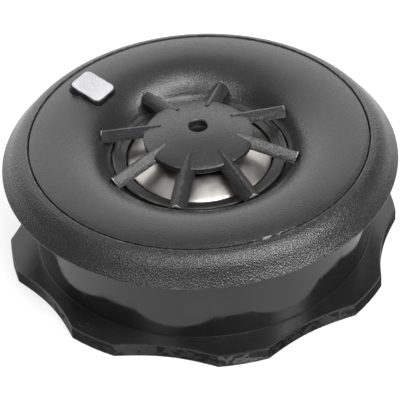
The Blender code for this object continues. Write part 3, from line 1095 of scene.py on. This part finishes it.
@dataclass
class LockNut(Assembly):
    """The scalloped nut that clamps the panel from behind, and its slip washer."""

    bore: float = 21.55
    heel_bore: float = 21.25
    flange_top: float = 2.05
    sleeve_outer: float = 22.75
    lobes: int = 8
    lobe_radius: float = 26.5
    lobe_half: float = 7.3
    lobe_phase: float = 1.6
    valley_radius: float = 24.7
    valley_steps: int = 16
    edge_rounding: float = 0.15
    thread: Thread = Thread(root=21.55, tip=20.85, start=4.1, turns=2.5)
    parting_line_angle: float = -142.0
    washer_width: float = 1.15

    def scallops(self) -> list[Point]:
        """Trace the flange's outline.

        Returns:
            Radius and angle in degrees of each point.
        """
        pitch = 360.0 / self.lobes
        half_valley = pitch / 2.0 - self.lobe_half
        outline = []
        for lobe in range(self.lobes):
            centre = self.lobe_phase + lobe * pitch
            for step in range(4):
                outline.append((self.lobe_radius, centre + self.lobe_half * (step / 2.0 - 1.0)))
            for step in range(self.valley_steps):
                share = 2.0 * step / self.valley_steps - 1.0
                radius = between(self.valley_radius, self.lobe_radius, share * share)
                outline.append((radius, centre + pitch / 2.0 + share * half_valley))
        return outline

    def flange(self, low: float) -> Shape:
        """Extrude the scalloped flange.

        Args:
            low: The height of its back face.

        Returns:
            The flange, with its edges rounded.
        """
        shape = bmesh.new()
        corners = [
            Matrix.Rotation(math.radians(angle), 3, "Z") @ Vector((radius, 0.0, low))
            for radius, angle in self.scallops()
        ]
        top = shape.faces.new([shape.verts.new(corner) for corner in corners])
        high, soft = self.flange_top, self.edge_rounding
        levels = [(soft, low), (0.3 * soft, low + 0.3 * soft), (0.0, low + soft)]
        levels += [(0.0, low + soft + SUPPORT_MM), (0.0, high - soft - SUPPORT_MM)]
        levels += [(0.0, high - soft), (0.3 * soft, high - 0.3 * soft), (soft, high)]
        reached = 1.0
        for index, (inset, height) in enumerate(levels):
            if index:
                grown = bmesh.ops.extrude_face_region(shape, geom=[top])["geom"]
                top = next(item for item in grown if isinstance(item, bmesh.types.BMFace))
            wanted = 1.0 - inset / self.lobe_radius
            change = wanted / reached
            bmesh.ops.scale(shape, vec=Vector((change, change, 1.0)), verts=top.verts)
            for vert in top.verts:
                vert.co.z = height
            reached = wanted
        tidy(shape)
        flat = [face for face in shape.faces if len(face.verts) > 8]
        bmesh.ops.inset_individual(shape, faces=flat, thickness=SUPPORT_MM)
        return tidy(shape)

    def fillet(self) -> Shape:
        """Turn the small fillet where the sleeve meets the flange.

        Returns:
            The fillet.
        """
        sleeve, top = self.sleeve_outer, self.flange_top
        curve = [(sleeve - 0.004, top + 0.12), (sleeve + 0.03, top + 0.03)]
        foot = [(sleeve + 0.12, top - 0.3), (sleeve - 0.3, top - 0.3), (sleeve - 0.3, top + 0.12)]
        curve = flowing([*curve, (sleeve + 0.12, top - 0.004)], 3)
        return turned(curve + foot, Steps.WIDE)

    def build(self) -> None:
        """Make the nut and the washer that rides on its rim."""
        extent = Extent.of("lock_nut")
        low, rim = extent.low.z, extent.high.z
        sleeve = softened(
            [
                (self.sleeve_outer, rim, 0.25),
                (self.sleeve_outer, low + 0.6, 0.0),
                (self.heel_bore, low + 0.6, 0.0),
                (self.heel_bore, low + 0.9, 0.0),
                (self.bore, low + 1.2, 0.0),
                (self.bore, rim, 0.2),
            ]
        )
        mould_line = block(Vector((0.5, 0.1, rim - 2.6)), Vector((22.508, 0.0, rim / 2.0 + 0.6)))
        turn(mould_line, self.parting_line_angle)
        work = [
            (Join.CUT, rod(self.heel_bore, 6.0, -3.0, Steps.WIDE)),
            (Join.UNITE, turned(sleeve, Steps.WIDE)),
            (Join.UNITE, self.fillet()),
            (Join.UNITE, self.thread.wound()),
            (Join.UNITE, mould_line),
        ]
        bench, finishes = self.bench, self.bench.finishes
        flange = self.flange(low)
        bench.hand_over(
            "scalloped_lock_nut", "lock_nut", flange, finishes.gloss, work=work, crease=15.0
        )
        washer = turned(
            ring_outline(Extent.of("slip_washer"), self.washer_width, 0.15), Steps.WIDE
        )
        bench.hand_over("nylon_slip_washer", "slip_washer", washer, finishes.nylon)


# ---------------------------------------------------------------- the front


@dataclass
class FrontBezel(Assembly):
    """The rounded bezel with its bowl, and the raised badge on the bowl's shoulder."""

    throat: float = 12.0
    skirt: Point = (18.6, 17.3)
    rim_back: float = 16.5
    bowl_back: float = 14.2
    crown: tuple[Point, ...] = (
        (0.03, 0.76), (0.60, 0.51), (1.30, 0.31), (2.10, 0.15), (2.90, 0.05), (3.90, 0.01),
        (4.94, 0.08), (5.97, 0.30), (6.95, 0.66), (7.87, 1.15), (8.62, 1.68), (9.20, 2.21),
        (9.73, 2.79), (10.20, 3.34),
    )
    badge_angle: float = 89.5
    badge_radius: float = 17.77
    badge_top: float = 18.55
    badge_tilt: float = 12.0
    badge_size: Vector = Vector((5.3, 4.4, 1.35))
    badge_corner: float = 1.0
    badge_border: float = 0.22
    pocket_clearance: float = 0.10

    def outline(self, extent: Extent) -> list[Point]:
        """Work out the bezel's section.

        Args:
            extent: The bezel's extent.

        Returns:
            Radius and height of each point.
        """
        rim, crest, low = extent.radius, extent.high.z, extent.low.z
        outer, inner = self.skirt
        crown = flowing(stepped(rim, crest, self.crown) + [(self.throat, self.bowl_back + 0.09)])
        rest = softened(
            [
                (self.throat + 0.12, self.bowl_back, 0.0),
                (inner, self.bowl_back, 0.2),
                (inner, low, 0.15),
                (outer, low, 0.15),
                (outer, self.rim_back, 0.2),
                (rim, self.rim_back, 0.1),
                (rim, crest - 1.0, 0.0),
            ],
            closed=False,
        )
        return crown + rest

    def tablet(self, grow: float) -> Shape:
        """Make the badge's rounded tablet, still lying flat at the centre.

        Args:
            grow: How much larger it is on every side.

        Returns:
            The tablet.
        """
        size = self.badge_size + Vector((2.0, 2.0, 2.0)) * grow
        shape = block(size, Vector((0.0, 0.0, -self.badge_size.z / 2.0)))
        rounded_edges(shape, edges_along(shape, 2), self.badge_corner, 8)
        return shape

    def set_down(self, shape: Shape) -> Shape:
        """Lean the tablet and carry it to its place on the bezel.

        Args:
            shape: The tablet.

        Returns:
            The same tablet.
        """
        turn(shape, -self.badge_tilt, "Y")
        place = Vector((self.badge_radius, 0.0, self.badge_top))
        bmesh.ops.translate(shape, vec=place, verts=shape.verts)
        turn(shape, self.badge_angle)
        return tidy(shape)

    def build(self) -> None:
        """Make the bezel with the badge's pocket, and the badge."""
        bench, finishes = self.bench, self.bench.finishes
        bezel = turned(self.outline(Extent.of("front_bezel")), Steps.WIDE)
        pocket = [(Join.CUT, self.set_down(self.tablet(self.pocket_clearance)))]
        bench.hand_over("bezel_ring", "front_bezel", bezel, finishes.bezel, work=pocket)

        badge = self.tablet(0.0)
        top = max(badge.faces, key=lambda face: face.calc_center_median().z)
        bmesh.ops.inset_region(badge, faces=[top], thickness=self.badge_border)
        top.material_index = 1
        outer = [
            edge
            for edge in sharp_edges(badge, 60.0)
            if all(vert.co.z > -0.01 for vert in edge.verts)
        ]
        rounded_edges(badge, outer, 0.12)
        badge = self.set_down(badge)
        bench.hand_over("raised_badge", "badge", badge, finishes.badge_side, finishes.badge_print)


@dataclass
class Diffuser(Assembly):
    """The domed disc in front of the diaphragm and the eight fins that carry it.

    The disc's top, edge and back give each point's radius and how far it lies below the crest.
    """

    top: tuple[Point, ...] = (
        (1.43, 0.03), (2.6, 0.13), (4.0, 0.40), (5.6, 0.84), (6.7, 1.24), (7.28, 1.52)
    )
    edge: tuple[Point, ...] = ((7.38, 1.62), (7.4, 1.80), (7.35, 2.30), (7.18, 2.42))
    back: tuple[Point, ...] = ((6.6, 2.36), (5.4, 1.98), (3.6, 1.48), (1.47, 1.22))
    bore: tuple[Point, ...] = ((1.27, 1.06), (1.27, 0.16))
    fins: int = 8
    fin_phase: float = 22.5
    ridge: tuple[Point, Point] = ((5.2, 18.69), (13.52, 16.45))
    foot: tuple[Point, Point] = ((5.9, 17.45), (13.16, 15.36))
    section: tuple[Point, ...] = ((0.0, 0.13), (0.10, 0.28), (0.40, 0.68), (0.75, 1.04), (1.0, 1.2))

    def disc(self, crest: float) -> Shape:
        """Turn the disc, thin-walled and open through its middle.

        Args:
            crest: The height of its crest.

        Returns:
            The disc.
        """
        runs = (self.top, self.edge, self.back, self.bore)
        top, edge, back, bore = (
            [(radius, crest - below) for radius, below in run] for run in runs
        )
        outline = flowing(top, 6) + flowing(edge, 3) + flowing(back, 5) + bore
        return turned(outline, Steps.MIDDLE)

    def corner(self, end: int, share: float, half: float) -> Vector:
        """Find where a point of the fin's section lies.

        Args:
            end: 0 at the disc, 1 at the bowl.
            share: How far down the fin's flank it lies.
            half: How far to the side it lies.

        Returns:
            The point.
        """
        top, low = self.ridge[end], self.foot[end]
        return Vector((between(top[0], low[0], share), half, between(top[1], low[1], share)))

    def fin(self, angle: float) -> Shape:
        """Extrude one fin's section from the disc to the bowl.

        Args:
            angle: Which way it points, in degrees.

        Returns:
            The fin.
        """
        shape = bmesh.new()
        ring = [*self.section, *((share, -half) for share, half in reversed(self.section))]
        face = shape.faces.new([shape.verts.new(self.corner(0, *side)) for side in ring])
        grown = bmesh.ops.extrude_face_region(shape, geom=[face])["geom"]
        for vert in [item for item in grown if isinstance(item, bmesh.types.BMVert)]:
            nearest = min(ring, key=lambda side: (self.corner(0, *side) - vert.co).length)
            vert.co = self.corner(1, *nearest)
        turn(shape, angle)
        return tidy(shape)

    def build(self) -> None:
        """Join the disc and its fins."""
        angles = [self.fin_phase + index * 360.0 / self.fins for index in range(self.fins)]
        work = [(Join.UNITE, self.fin(angle)) for angle in angles]
        disc = self.disc(Extent.of("diffuser").high.z)
        fins = self.bench.finishes.fins
        self.bench.hand_over("diffuser_on_fins", "diffuser", disc, fins, work=work, crease=28.0)


# ---------------------------------------------------------------- the driver


@dataclass
class DriverFace(Assembly):
    """The driver's faceplate, its gasket and its screws."""

    lip_inner: float = 9.95
    lip_outer: float = 11.7
    flange_radius: float = 16.9
    gasket_width: float = 1.0
    screw_circle: float = 15.0
    screw_angles: tuple[float, ...] = (30.0, 150.0, 270.0)
    screw_hole: float = 0.85
    head_radius: float = 1.1
    shank_radius: float = 0.6
    screw_pitch: float = 0.5
    screw_turns: int = 4

    def at_screw(self, shape: Shape, angle: float) -> Shape:
        """Carry a shape from the axis to one of the screws.

        Args:
            shape: The shape.
            angle: The screw's angle, in degrees.

        Returns:
            The same shape.
        """
        bmesh.ops.translate(shape, vec=Vector((self.screw_circle, 0.0, 0.0)), verts=shape.verts)
        turn(shape, angle)
        return shape

    def screw(self, extent: Extent, angle: float) -> tuple[Shape, Work]:
        """Make one screw.

        Args:
            extent: The screw's extent.
            angle: Its angle round the axis, in degrees.

        Returns:
            Its body, and what cuts its cross and adds its thread.
        """
        low, high = extent.low.z, extent.high.z
        seat, core, head = low + 0.7, self.shank_radius - 0.12, self.head_radius
        outline = softened(
            [
                (0.0, high, 0.0),
                (self.shank_radius - 0.35, high, 0.05),
                (core, high - 0.5, 0.1),
                (core, seat, 0.0),
                (head, seat, 0.06),
                (head, low + 0.28, 0.2),
                (head - 0.35, low, 0.25),
                (0.0, low, 0.0),
            ],
            closed=False,
        )
        body = self.at_screw(turned(outline, Steps.SCREW, False), angle)
        work = []
        for size in (Vector((1.3, 0.28, 0.7)), Vector((0.28, 1.3, 0.7))):
            work.append((Join.CUT, self.at_screw(block(size, Vector((0.0, 0.0, low))), angle)))
        wall, tip, per_turn = self.shank_radius - 0.15, self.shank_radius, 20
        corners = ((wall, -0.13), (tip, -0.02), (tip, 0.02), (wall, 0.13))
        corners = [(radius, seat + 0.35 + height) for radius, height in corners]
        steps, rise = per_turn * self.screw_turns, self.screw_pitch / per_turn
        thread = swept(corners, 0.0, 360.0 * self.screw_turns, steps, rise)
        work.append((Join.UNITE, self.at_screw(thread, angle)))
        return body, work

    def build_plate(self) -> None:
        """Turn the faceplate and drill its screw holes."""
        extent = Extent.of("faceplate")
        top, low = extent.high.z, extent.low.z
        flange = low + 0.8
        band = softened(
            [
                (self.lip_outer, top - 0.02, 0.12),
                (self.lip_outer, flange, 0.1),
                (self.flange_radius, flange, 0.12),
                (self.flange_radius, low, 0.12),
                (12.6, low, 0.1),
                (12.05, low + 0.82, 0.1),
                (self.lip_inner + 0.05, low + 0.82, 0.06),
                (self.lip_inner, low + 1.22, 0.08),
                (10.85, low + 1.40, 0.03),
                (10.93, low + 1.52, 0.03),
                (11.38, low + 1.61, 0.03),
                (11.44, low + 1.68, 0.03),
            ]
        )
        work = []
        for angle in self.screw_angles:
            drill = rod(self.screw_hole, flange + 1.0, low - 1.0, Steps.SCREW)
            work.append((Join.CUT, self.at_screw(drill, angle)))
        plate, face = turned(band, Steps.WIDE), self.bench.finishes.face
        self.bench.hand_over("driver_faceplate", "faceplate", plate, face, work=work)

    def build(self) -> None:
        """Make the faceplate, gasket and screws."""
        self.build_plate()
        bench, finishes = self.bench, self.bench.finishes
        outline = ring_outline(Extent.of("front_gasket"), self.gasket_width, 0.12)
        ring = turned(outline, Steps.MIDDLE)
        foam = bench.hand_over("front_foam_gasket", "front_gasket", ring, finishes.foam)
        for index, angle in enumerate(self.screw_angles, 1):
            node = f"faceplate_screw_{index}"
            body, work = self.screw(Extent.of(node), angle)
            bench.hand_over(f"cross_head_screw_{index}", node, body, finishes.zinc, work=work)


@dataclass
class Diaphragm(Assembly):
    """The metal dome, its surround, and the coil that drives it."""

    edge_radius: float = 9.7
    edge_height: float = 14.0
    wall: float = 0.12
    skirt_end: float = 12.95
    roll: tuple[Point, ...] = (
        (11.15, 0.01), (11.0, 0.10), (10.75, 0.36), (10.45, 0.40), (10.2, 0.27), (10.08, 0.20),
        (9.8, 0.19),
    )
    coil_turns: int = 11
    coil_depth: float = 0.36

    def cap(self, radius: float, height: float, rise: float) -> list[Point]:
        """Trace the dome's arc from its apex to its edge.

        Args:
            radius: The radius of its edge.
            height: The height of its edge.
            rise: How far its apex stands above its edge.

        Returns:
            Radius and height of each point.
        """
        sphere = (radius**2 + rise**2) / (2.0 * rise)
        reach = math.asin(radius / sphere)
        base = height + rise - sphere
        arc = [reach * step / 24 for step in range(25)]
        return [(sphere * math.sin(angle), base + sphere * math.cos(angle)) for angle in arc]

    def build_dome(self) -> None:
        """Press the dome, with its rolled shoulder and short skirt."""
        edge, height, within = self.edge_radius, self.edge_height, self.edge_radius - self.wall
        rise = Extent.of("dome").high.z - height
        outside = self.cap(edge - 0.1, height + 0.04, rise - 0.04)
        inside = self.cap(within - 0.08, height - 0.08, rise - 0.04)
        hem = [(edge - 0.02, height - 0.04), (edge, height - 0.14), (edge, self.skirt_end)]
        hem += [(within, self.skirt_end), (within, height - 0.16)]
        shape = turned(outside + hem + inside[::-1], Steps.WIDE, False)
        self.bench.hand_over("dome_foil", "dome", shape, self.bench.finishes.foil)

    def build_surround(self) -> None:
        """Mould the half-roll surround between the frame and the dome, fixed where it stands."""
        node = Extent.of("surround")
        low, wall = node.low.z - 0.06, self.wall
        line = [(node.radius, low), *((radius, low + up) for radius, up in self.roll)]
        line = flowing(line, 6)
        section = line[::-1] + [(radius, height + wall) for radius, height in line]
        shape, rubber = turned(section, Steps.MIDDLE), self.bench.finishes.rubber
        piece = self.bench.hand_over(
            "half_roll_surround", "surround", shape, rubber, crease=60.0, rides=False
        )
        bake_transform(piece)

    def build_coil(self) -> None:
        """Roll the former and wind the coil round it."""
        bench, finishes = self.bench, self.bench.finishes
        outline = ring_outline(Extent.of("voice_coil_former"), self.wall, 0.0)
        tube = turned(outline, Steps.MIDDLE)
        bench.hand_over("coil_former_film", "voice_coil_former", tube, finishes.film)

        coil = Extent.of("voice_coil")
        low, high, outer = coil.low.z, coil.high.z, coil.radius
        wire = (high - low) / self.coil_turns
        half = wire / 2.0
        section: list[Point] = []
        for lap in range(self.coil_turns):
            middle = high - wire * (lap + 0.5)
            for step in range(6):
                angle = math.pi * (0.5 - step / 6.0)
                reach = outer - half * (1.0 - math.cos(angle))
                section.append((reach, middle + half * math.sin(angle)))
        inner = outer - self.coil_depth
        section += [(outer - half, low), (inner, low), (inner, high)]
        winding = turned(section, Steps.MIDDLE)
        bench.hand_over("voice_coil_winding", "voice_coil", winding, finishes.wire, crease=50.0)

    def build(self) -> None:
        """Make every piece that moves with the dome."""
        self.build_dome()
        self.build_surround()
        self.build_coil()


@dataclass
class Motor(Assembly):
    """The magnet system behind the dome and the soft rings round it."""

    yoke_bore: float = 10.25
    yoke_floor: float = 8.3
    absorber_width: float = 4.0
    rim_width: float = 1.3
    notch_width: float = 0.9

    def disc(
        self, name: str, node: str, finish: bpy.types.Material, rounding: float
    ) -> bpy.types.Object:
        """Turn a solid disc in a node's place.

        Args:
            name: The disc's name.
            node: The node.
            finish: The disc's material.
            rounding: The rounding of its edges.

        Returns:
            The disc.
        """
        extent = Extent.of(node)
        high, low = extent.high.z, extent.low.z
        corners = [(0.0, high, 0.0), (extent.radius, high, rounding)]
        corners += [(extent.radius, low, rounding), (0.0, low, 0.0)]
        shape = turned(softened(corners, closed=False), Steps.MIDDLE, False)
        return self.bench.hand_over(name, node, shape, finish)

    def build_yoke(self) -> None:
        """Turn the yoke cup, with the dimple in its back."""
        yoke = Extent.of("yoke_cup")
        high, low = yoke.high.z, yoke.low.z
        corners = [
            (0.0, self.yoke_floor, 0.0),
            (self.yoke_bore, self.yoke_floor, 0.3),
            (self.yoke_bore, high, 0.12),
            (yoke.radius, high, 0.2),
            (yoke.radius, low, 0.7),
            (3.4, low, 0.2),
            (2.9, low + 0.35, 0.2),
            (0.0, low + 0.35, 0.0),
        ]
        shape = turned(softened(corners, closed=False), Steps.MIDDLE, False)
        self.bench.hand_over("pressed_yoke_cup", "yoke_cup", shape, self.bench.finishes.zinc)

    def build(self) -> None:
        """Make the yoke, plate, magnet, pads and rings."""
        bench, finishes = self.bench, self.bench.finishes
        self.build_yoke()
        self.disc("round_pole_plate", "pole_plate", finishes.zinc, 0.15)
        self.disc("disc_magnet", "magnet", finishes.nickel, 0.3)
        self.disc("felt_pole_pad", "pole_pad", finishes.felt, 0.3)

        outline = ring_outline(Extent.of("absorber_ring"), self.absorber_width, 0.6)
        ring = turned(outline, Steps.MIDDLE)
        ring = bench.hand_over("foam_absorber_ring", "absorber_ring", ring, finishes.foam)

        rim = Extent.of("diaphragm_ring")
        shape = turned(ring_outline(rim, self.rim_width, 0.05), Steps.MIDDLE)
        notch = block(Vector((40.0, self.notch_width, 2.0)), Vector((0.0, 0.0, rim.high.z + 0.65)))
        work = [(Join.CUT, notch)]
        bench.hand_over(
            "glued_diaphragm_ring", "diaphragm_ring", shape, finishes.board, work=work
        )


@dataclass
class RearHousing(Assembly):
    """The closed back of the tweeter, with its bayonet lugs, terminals and lead-outs."""

    wall_inner: float = 17.3
    floor_top: float = 3.8
    outer: float = 18.6
    lugs: Bayonet = Bayonet(18.3, 19.25, (7.0, 8.2), span=16.0, chamfer=0.15, steps=10)
    slot_clearance: float = 0.15
    tab_x: float = 4.5
    tab_eye: float = 0.42
    lead_radius: float = 0.15
    lead_lane: float = 12.45

    def slots(self) -> list[tuple[Join, Shape]]:
        """Make the cutters for the two terminals' slots.

        Returns:
            Each cutter, to be cut away.
        """
        cuts = []
        for node in ("terminal_positive", "terminal_negative"):
            tab = Extent.of(node)
            wide, deep = (side + 2 * self.slot_clearance for side in tab.size.xy)
            cuts.append((Join.CUT, block(Vector((wide, deep, 8.0)), tab.middle)))
        return cuts

    def build_housing(self) -> None:
        """Turn the housing, with stiffening rings on its back."""
        extent = Extent.of("rear_housing")
        top, low = extent.high.z, extent.low.z
        outline = softened(
            [
                (0.0, self.floor_top, 0.0),
                (self.wall_inner, self.floor_top, 0.5),
                (self.wall_inner, top, 0.15),
                (self.outer, top, 0.15),
                (self.outer, low + 0.3, 0.9),
                (self.outer - 0.7, low + 0.18, 0.15),
                (15.6, low + 0.18, 0.1),
                (15.3, low, 0.1),
                (14.5, low, 0.1),
                (14.2, low + 0.18, 0.1),
                (10.9, low + 0.18, 0.1),
                (10.6, low, 0.1),
                (0.0, low, 0.0),
            ],
            closed=False,
        )
        shape, finish = turned(outline, Steps.WIDE, False), self.bench.finishes.housing
        work = [*self.slots(), *self.lugs.blocks()]
        self.bench.hand_over("rear_chamber_housing", "rear_housing", shape, finish, work=work)

    def polarity_marks(self, low: float) -> list[tuple[Join, Shape]]:
        """Sink a plus and a minus into the board beside their tabs.

        Args:
            low: The height of the board's back face.

        Returns:
            Each cutter, to be cut away.
        """
        bar, beside = Vector((1.1, 0.22, 0.12)), self.tab_x - 2.2
        marks = [(bar, beside), (bar.yxz, beside), (bar, -beside)]
        return [(Join.CUT, block(size, Vector((x, 2.4, low)))) for size, x in marks]

    def build_terminals(self) -> None:
        """Cut the board and stamp the two tabs."""
        bench, finishes = self.bench, self.bench.finishes
        board = Extent.of("terminal_board")
        shape = block(board.size, board.middle)
        rounded_edges(shape, edges_along(shape, 2), 0.8, 6)
        rounded_edges(shape, sharp_edges(shape, 60.0), 0.06, 2)
        work = [*self.slots(), *self.polarity_marks(board.low.z)]
        bench.hand_over(
            "slotted_terminal_board", "terminal_board", shape, finishes.board, work=work
        )
        for node, name in (
            ("terminal_positive", "wide_terminal_tab"),
            ("terminal_negative", "narrow_terminal_tab"),
        ):
            tab = Extent.of(node)
            shape = block(tab.size, tab.middle)
            rounded_edges(shape, edges_along(shape, 0), 0.3)
            rounded_edges(shape, sharp_edges(shape, 60.0), 0.05, 2)
            eye, radius = bmesh.new(), self.tab_eye
            bmesh.ops.create_cone(
                eye, cap_ends=True, segments=32, radius1=radius, radius2=radius, depth=3.0
            )
            turn(eye, 90.0, "Y")
            at = Vector((tab.middle.x, 0.0, tab.low.z + 0.85))
            bmesh.ops.translate(eye, vec=at, verts=eye.verts)
            bench.hand_over(name, node, shape, finishes.brass, work=[(Join.CUT, eye)])

    def lead_out(self, side: float) -> Shape:
        """Bend one lead-out over the yoke and down to its tab.

        Args:
            side: 1 to lead it out along +X, -1 along -X.

        Returns:
            The wire.
        """
        lane, tab = self.lead_lane, self.tab_x
        corners = [(10.15, 12.55, 0.0), (lane, 12.55, 0.35), (lane, 5.4, 0.5), (tab, 5.4, 0.3)]
        route = softened([*corners, (tab, 5.05, 0.0)], closed=False, steps=6)
        line = bpy.data.curves.new("lead_out_route", "CURVE")
        line.dimensions = "3D"
        line.bevel_depth = self.lead_radius * MM
        line.bevel_resolution = 3
        line.use_fill_caps = True
        spline = line.splines.new("POLY")
        spline.points.add(len(route) - 1)
        for point, (reach, height) in zip(spline.points, route):
            point.co = (side * reach * MM, 0.0, height * MM, 1.0)
        drawn = bpy.data.objects.new("lead_out_route", line)
        bpy.context.scene.collection.objects.link(drawn)
        graph = bpy.context.evaluated_depsgraph_get()
        mesh = bpy.data.meshes.new_from_object(drawn.evaluated_get(graph))
        bpy.data.objects.remove(drawn, do_unlink=True)
        shape = bmesh.new()
        shape.from_mesh(mesh)
        bmesh.ops.scale(shape, vec=Vector((1 / MM, 1 / MM, 1 / MM)), verts=shape.verts)
        return tidy(shape)

    def build(self) -> None:
        """Make the back of the tweeter."""
        self.build_housing()
        self.build_terminals()
        for polarity, side in (("positive", 1.0), ("negative", -1.0)):
            name, node, wire = f"{polarity}_lead_out", f"lead_out_{polarity}", self.lead_out(side)
            self.bench.hand_over(name, node, wire, self.bench.finishes.wire)


# ---------------------------------------------------------------- the studio


def towards(azimuth: float, elevation: float) -> Vector:
    """Find the direction that lies round from the front and up from the floor, in degrees."""
    around, rise = math.radians(azimuth), math.radians(elevation)
    level = math.cos(rise)
    return Vector((math.sin(around) * level, -math.cos(around) * level, math.sin(rise)))


@dataclass(frozen=True)
class Softbox:
    """A rectangular light that faces the object.

    It hangs ``side`` degrees round from the camera to its right, ``lift`` degrees above the
    floor and ``far`` metres away, and its width and height are in metres.
    """

    name: str
    side: float
    lift: float
    far: float
    size: Point
    watts: float

    def hang(self, azimuth: float) -> None:
        """Hang the light.

        Args:
            azimuth: The camera's own azimuth, in degrees.
        """
        lamp = bpy.data.lights.new(self.name, "AREA")
        lamp.shape = "RECTANGLE"
        lamp.size, lamp.size_y = self.size
        lamp.energy = self.watts
        back = towards(azimuth + self.side, self.lift)
        light = bpy.data.objects.new(self.name, lamp)
        bpy.context.scene.collection.objects.link(light)
        light.location = back * self.far
        light.rotation_mode = "QUATERNION"
        light.rotation_quaternion = back.to_track_quat("Z", "Y")


@dataclass
class Studio:
    """Plain pale floor, soft light and the camera."""

    azimuth: float = -52.65
    elevation: float = 39.80
    roll: float = 3.226
    distance: float = 330.0
    aim_side: float = -0.299
    aim_up: float = -8.462
    aim_height: float = 17.35
    sensor: float = 36.0
    focal: float = 222.8
    floor_size: float = 3000.0
    floor_colour: Colour = (0.42, 0.42, 0.42)
    floor_glow: float = 0.62
    sky_strength: float = 0.09
    lights: tuple[Softbox, ...] = (
        Softbox("back_panel", 190.0, 31.0, 1.5, (3.0, 1.6), 26.5),
        Softbox("ceiling_panel", 180.0, 86.0, 1.5, (2.0, 1.4), 3.8),
        Softbox("key_softbox", 24.0, 61.0, 0.9, (0.34, 0.32), 4.6),
        Softbox("right_fill", 58.0, 42.0, 0.9, (0.24, 0.24), 5.2),
        Softbox("left_fill", -33.0, 47.0, 0.9, (0.24, 0.24), 1.9),
    )

    def build_camera(self) -> None:
        """Stand the camera at its viewing angle."""
        back = towards(self.azimuth, self.elevation)
        around = math.radians(self.azimuth)
        right = Vector((math.cos(around), math.sin(around), 0.0))
        up = back.cross(right)
        lean = math.radians(self.roll)
        across = right * math.cos(lean) - up * math.sin(lean)
        above = right * math.sin(lean) + up * math.cos(lean)
        spot = UP * self.aim_height + right * self.aim_side + up * self.aim_up
        spot = (spot + back * self.distance) * MM
        lens = bpy.data.cameras.new("studio_camera")
        lens.sensor_width = self.sensor
        lens.lens = self.focal
        lens.clip_start = 0.01
        lens.clip_end = 10.0
        camera = bpy.data.objects.new("studio_camera", lens)
        bpy.context.scene.collection.objects.link(camera)
        turned_to = Matrix((across, above, back)).transposed()
        camera.matrix_world = Matrix.Translation(spot) @ turned_to.to_4x4()
        bpy.context.scene.camera = camera

    def build_floor(self) -> None:
        """Lay the floor."""
        shape = bmesh.new()
        bmesh.ops.create_grid(shape, x_segments=2, y_segments=2, size=self.floor_size)
        floor = as_object("studio_floor", shape)
        nodes = FinishNodes("studio_paper", self.floor_colour, 0.9, 0.0)
        nodes.shader.inputs["Emission Color"].default_value = WHITE
        nodes.shader.inputs["Emission Strength"].default_value = self.floor_glow
        floor.data.materials.append(nodes.material)

    def build(self) -> None:
        """Set up the floor, world, lights and camera."""
        self.build_floor()
        world = bpy.data.worlds.new("studio_world")
        bpy.context.scene.world = world
        world.use_nodes = True
        sky = world.node_tree.nodes["Background"]
        sky.inputs["Color"].default_value = WHITE
        sky.inputs["Strength"].default_value = self.sky_strength
        for light in self.lights:
            light.hang(self.azimuth)
        bpy.context.scene.view_settings.view_transform = "Standard"
        self.build_camera()


def main() -> None:
    """Build the tweeter round its frame and light it."""
    logging.basicConfig(level=logging.INFO, format="%(name)s: %(message)s")
    Studio().build()
    bench = Bench(Finishes())
    assemblies: Sequence[Assembly] = (
        MountingCup(bench),
        LockNut(bench),
        FrontBezel(bench),
        Diffuser(bench),
        DriverFace(bench),
        Diaphragm(bench),
        Motor(bench),
        RearHousing(bench),
    )
    for assembly in assemblies:
        LOG.info("building %s", type(assembly).__name__)
        assembly.build()


if __name__ == "__main__":
    main()
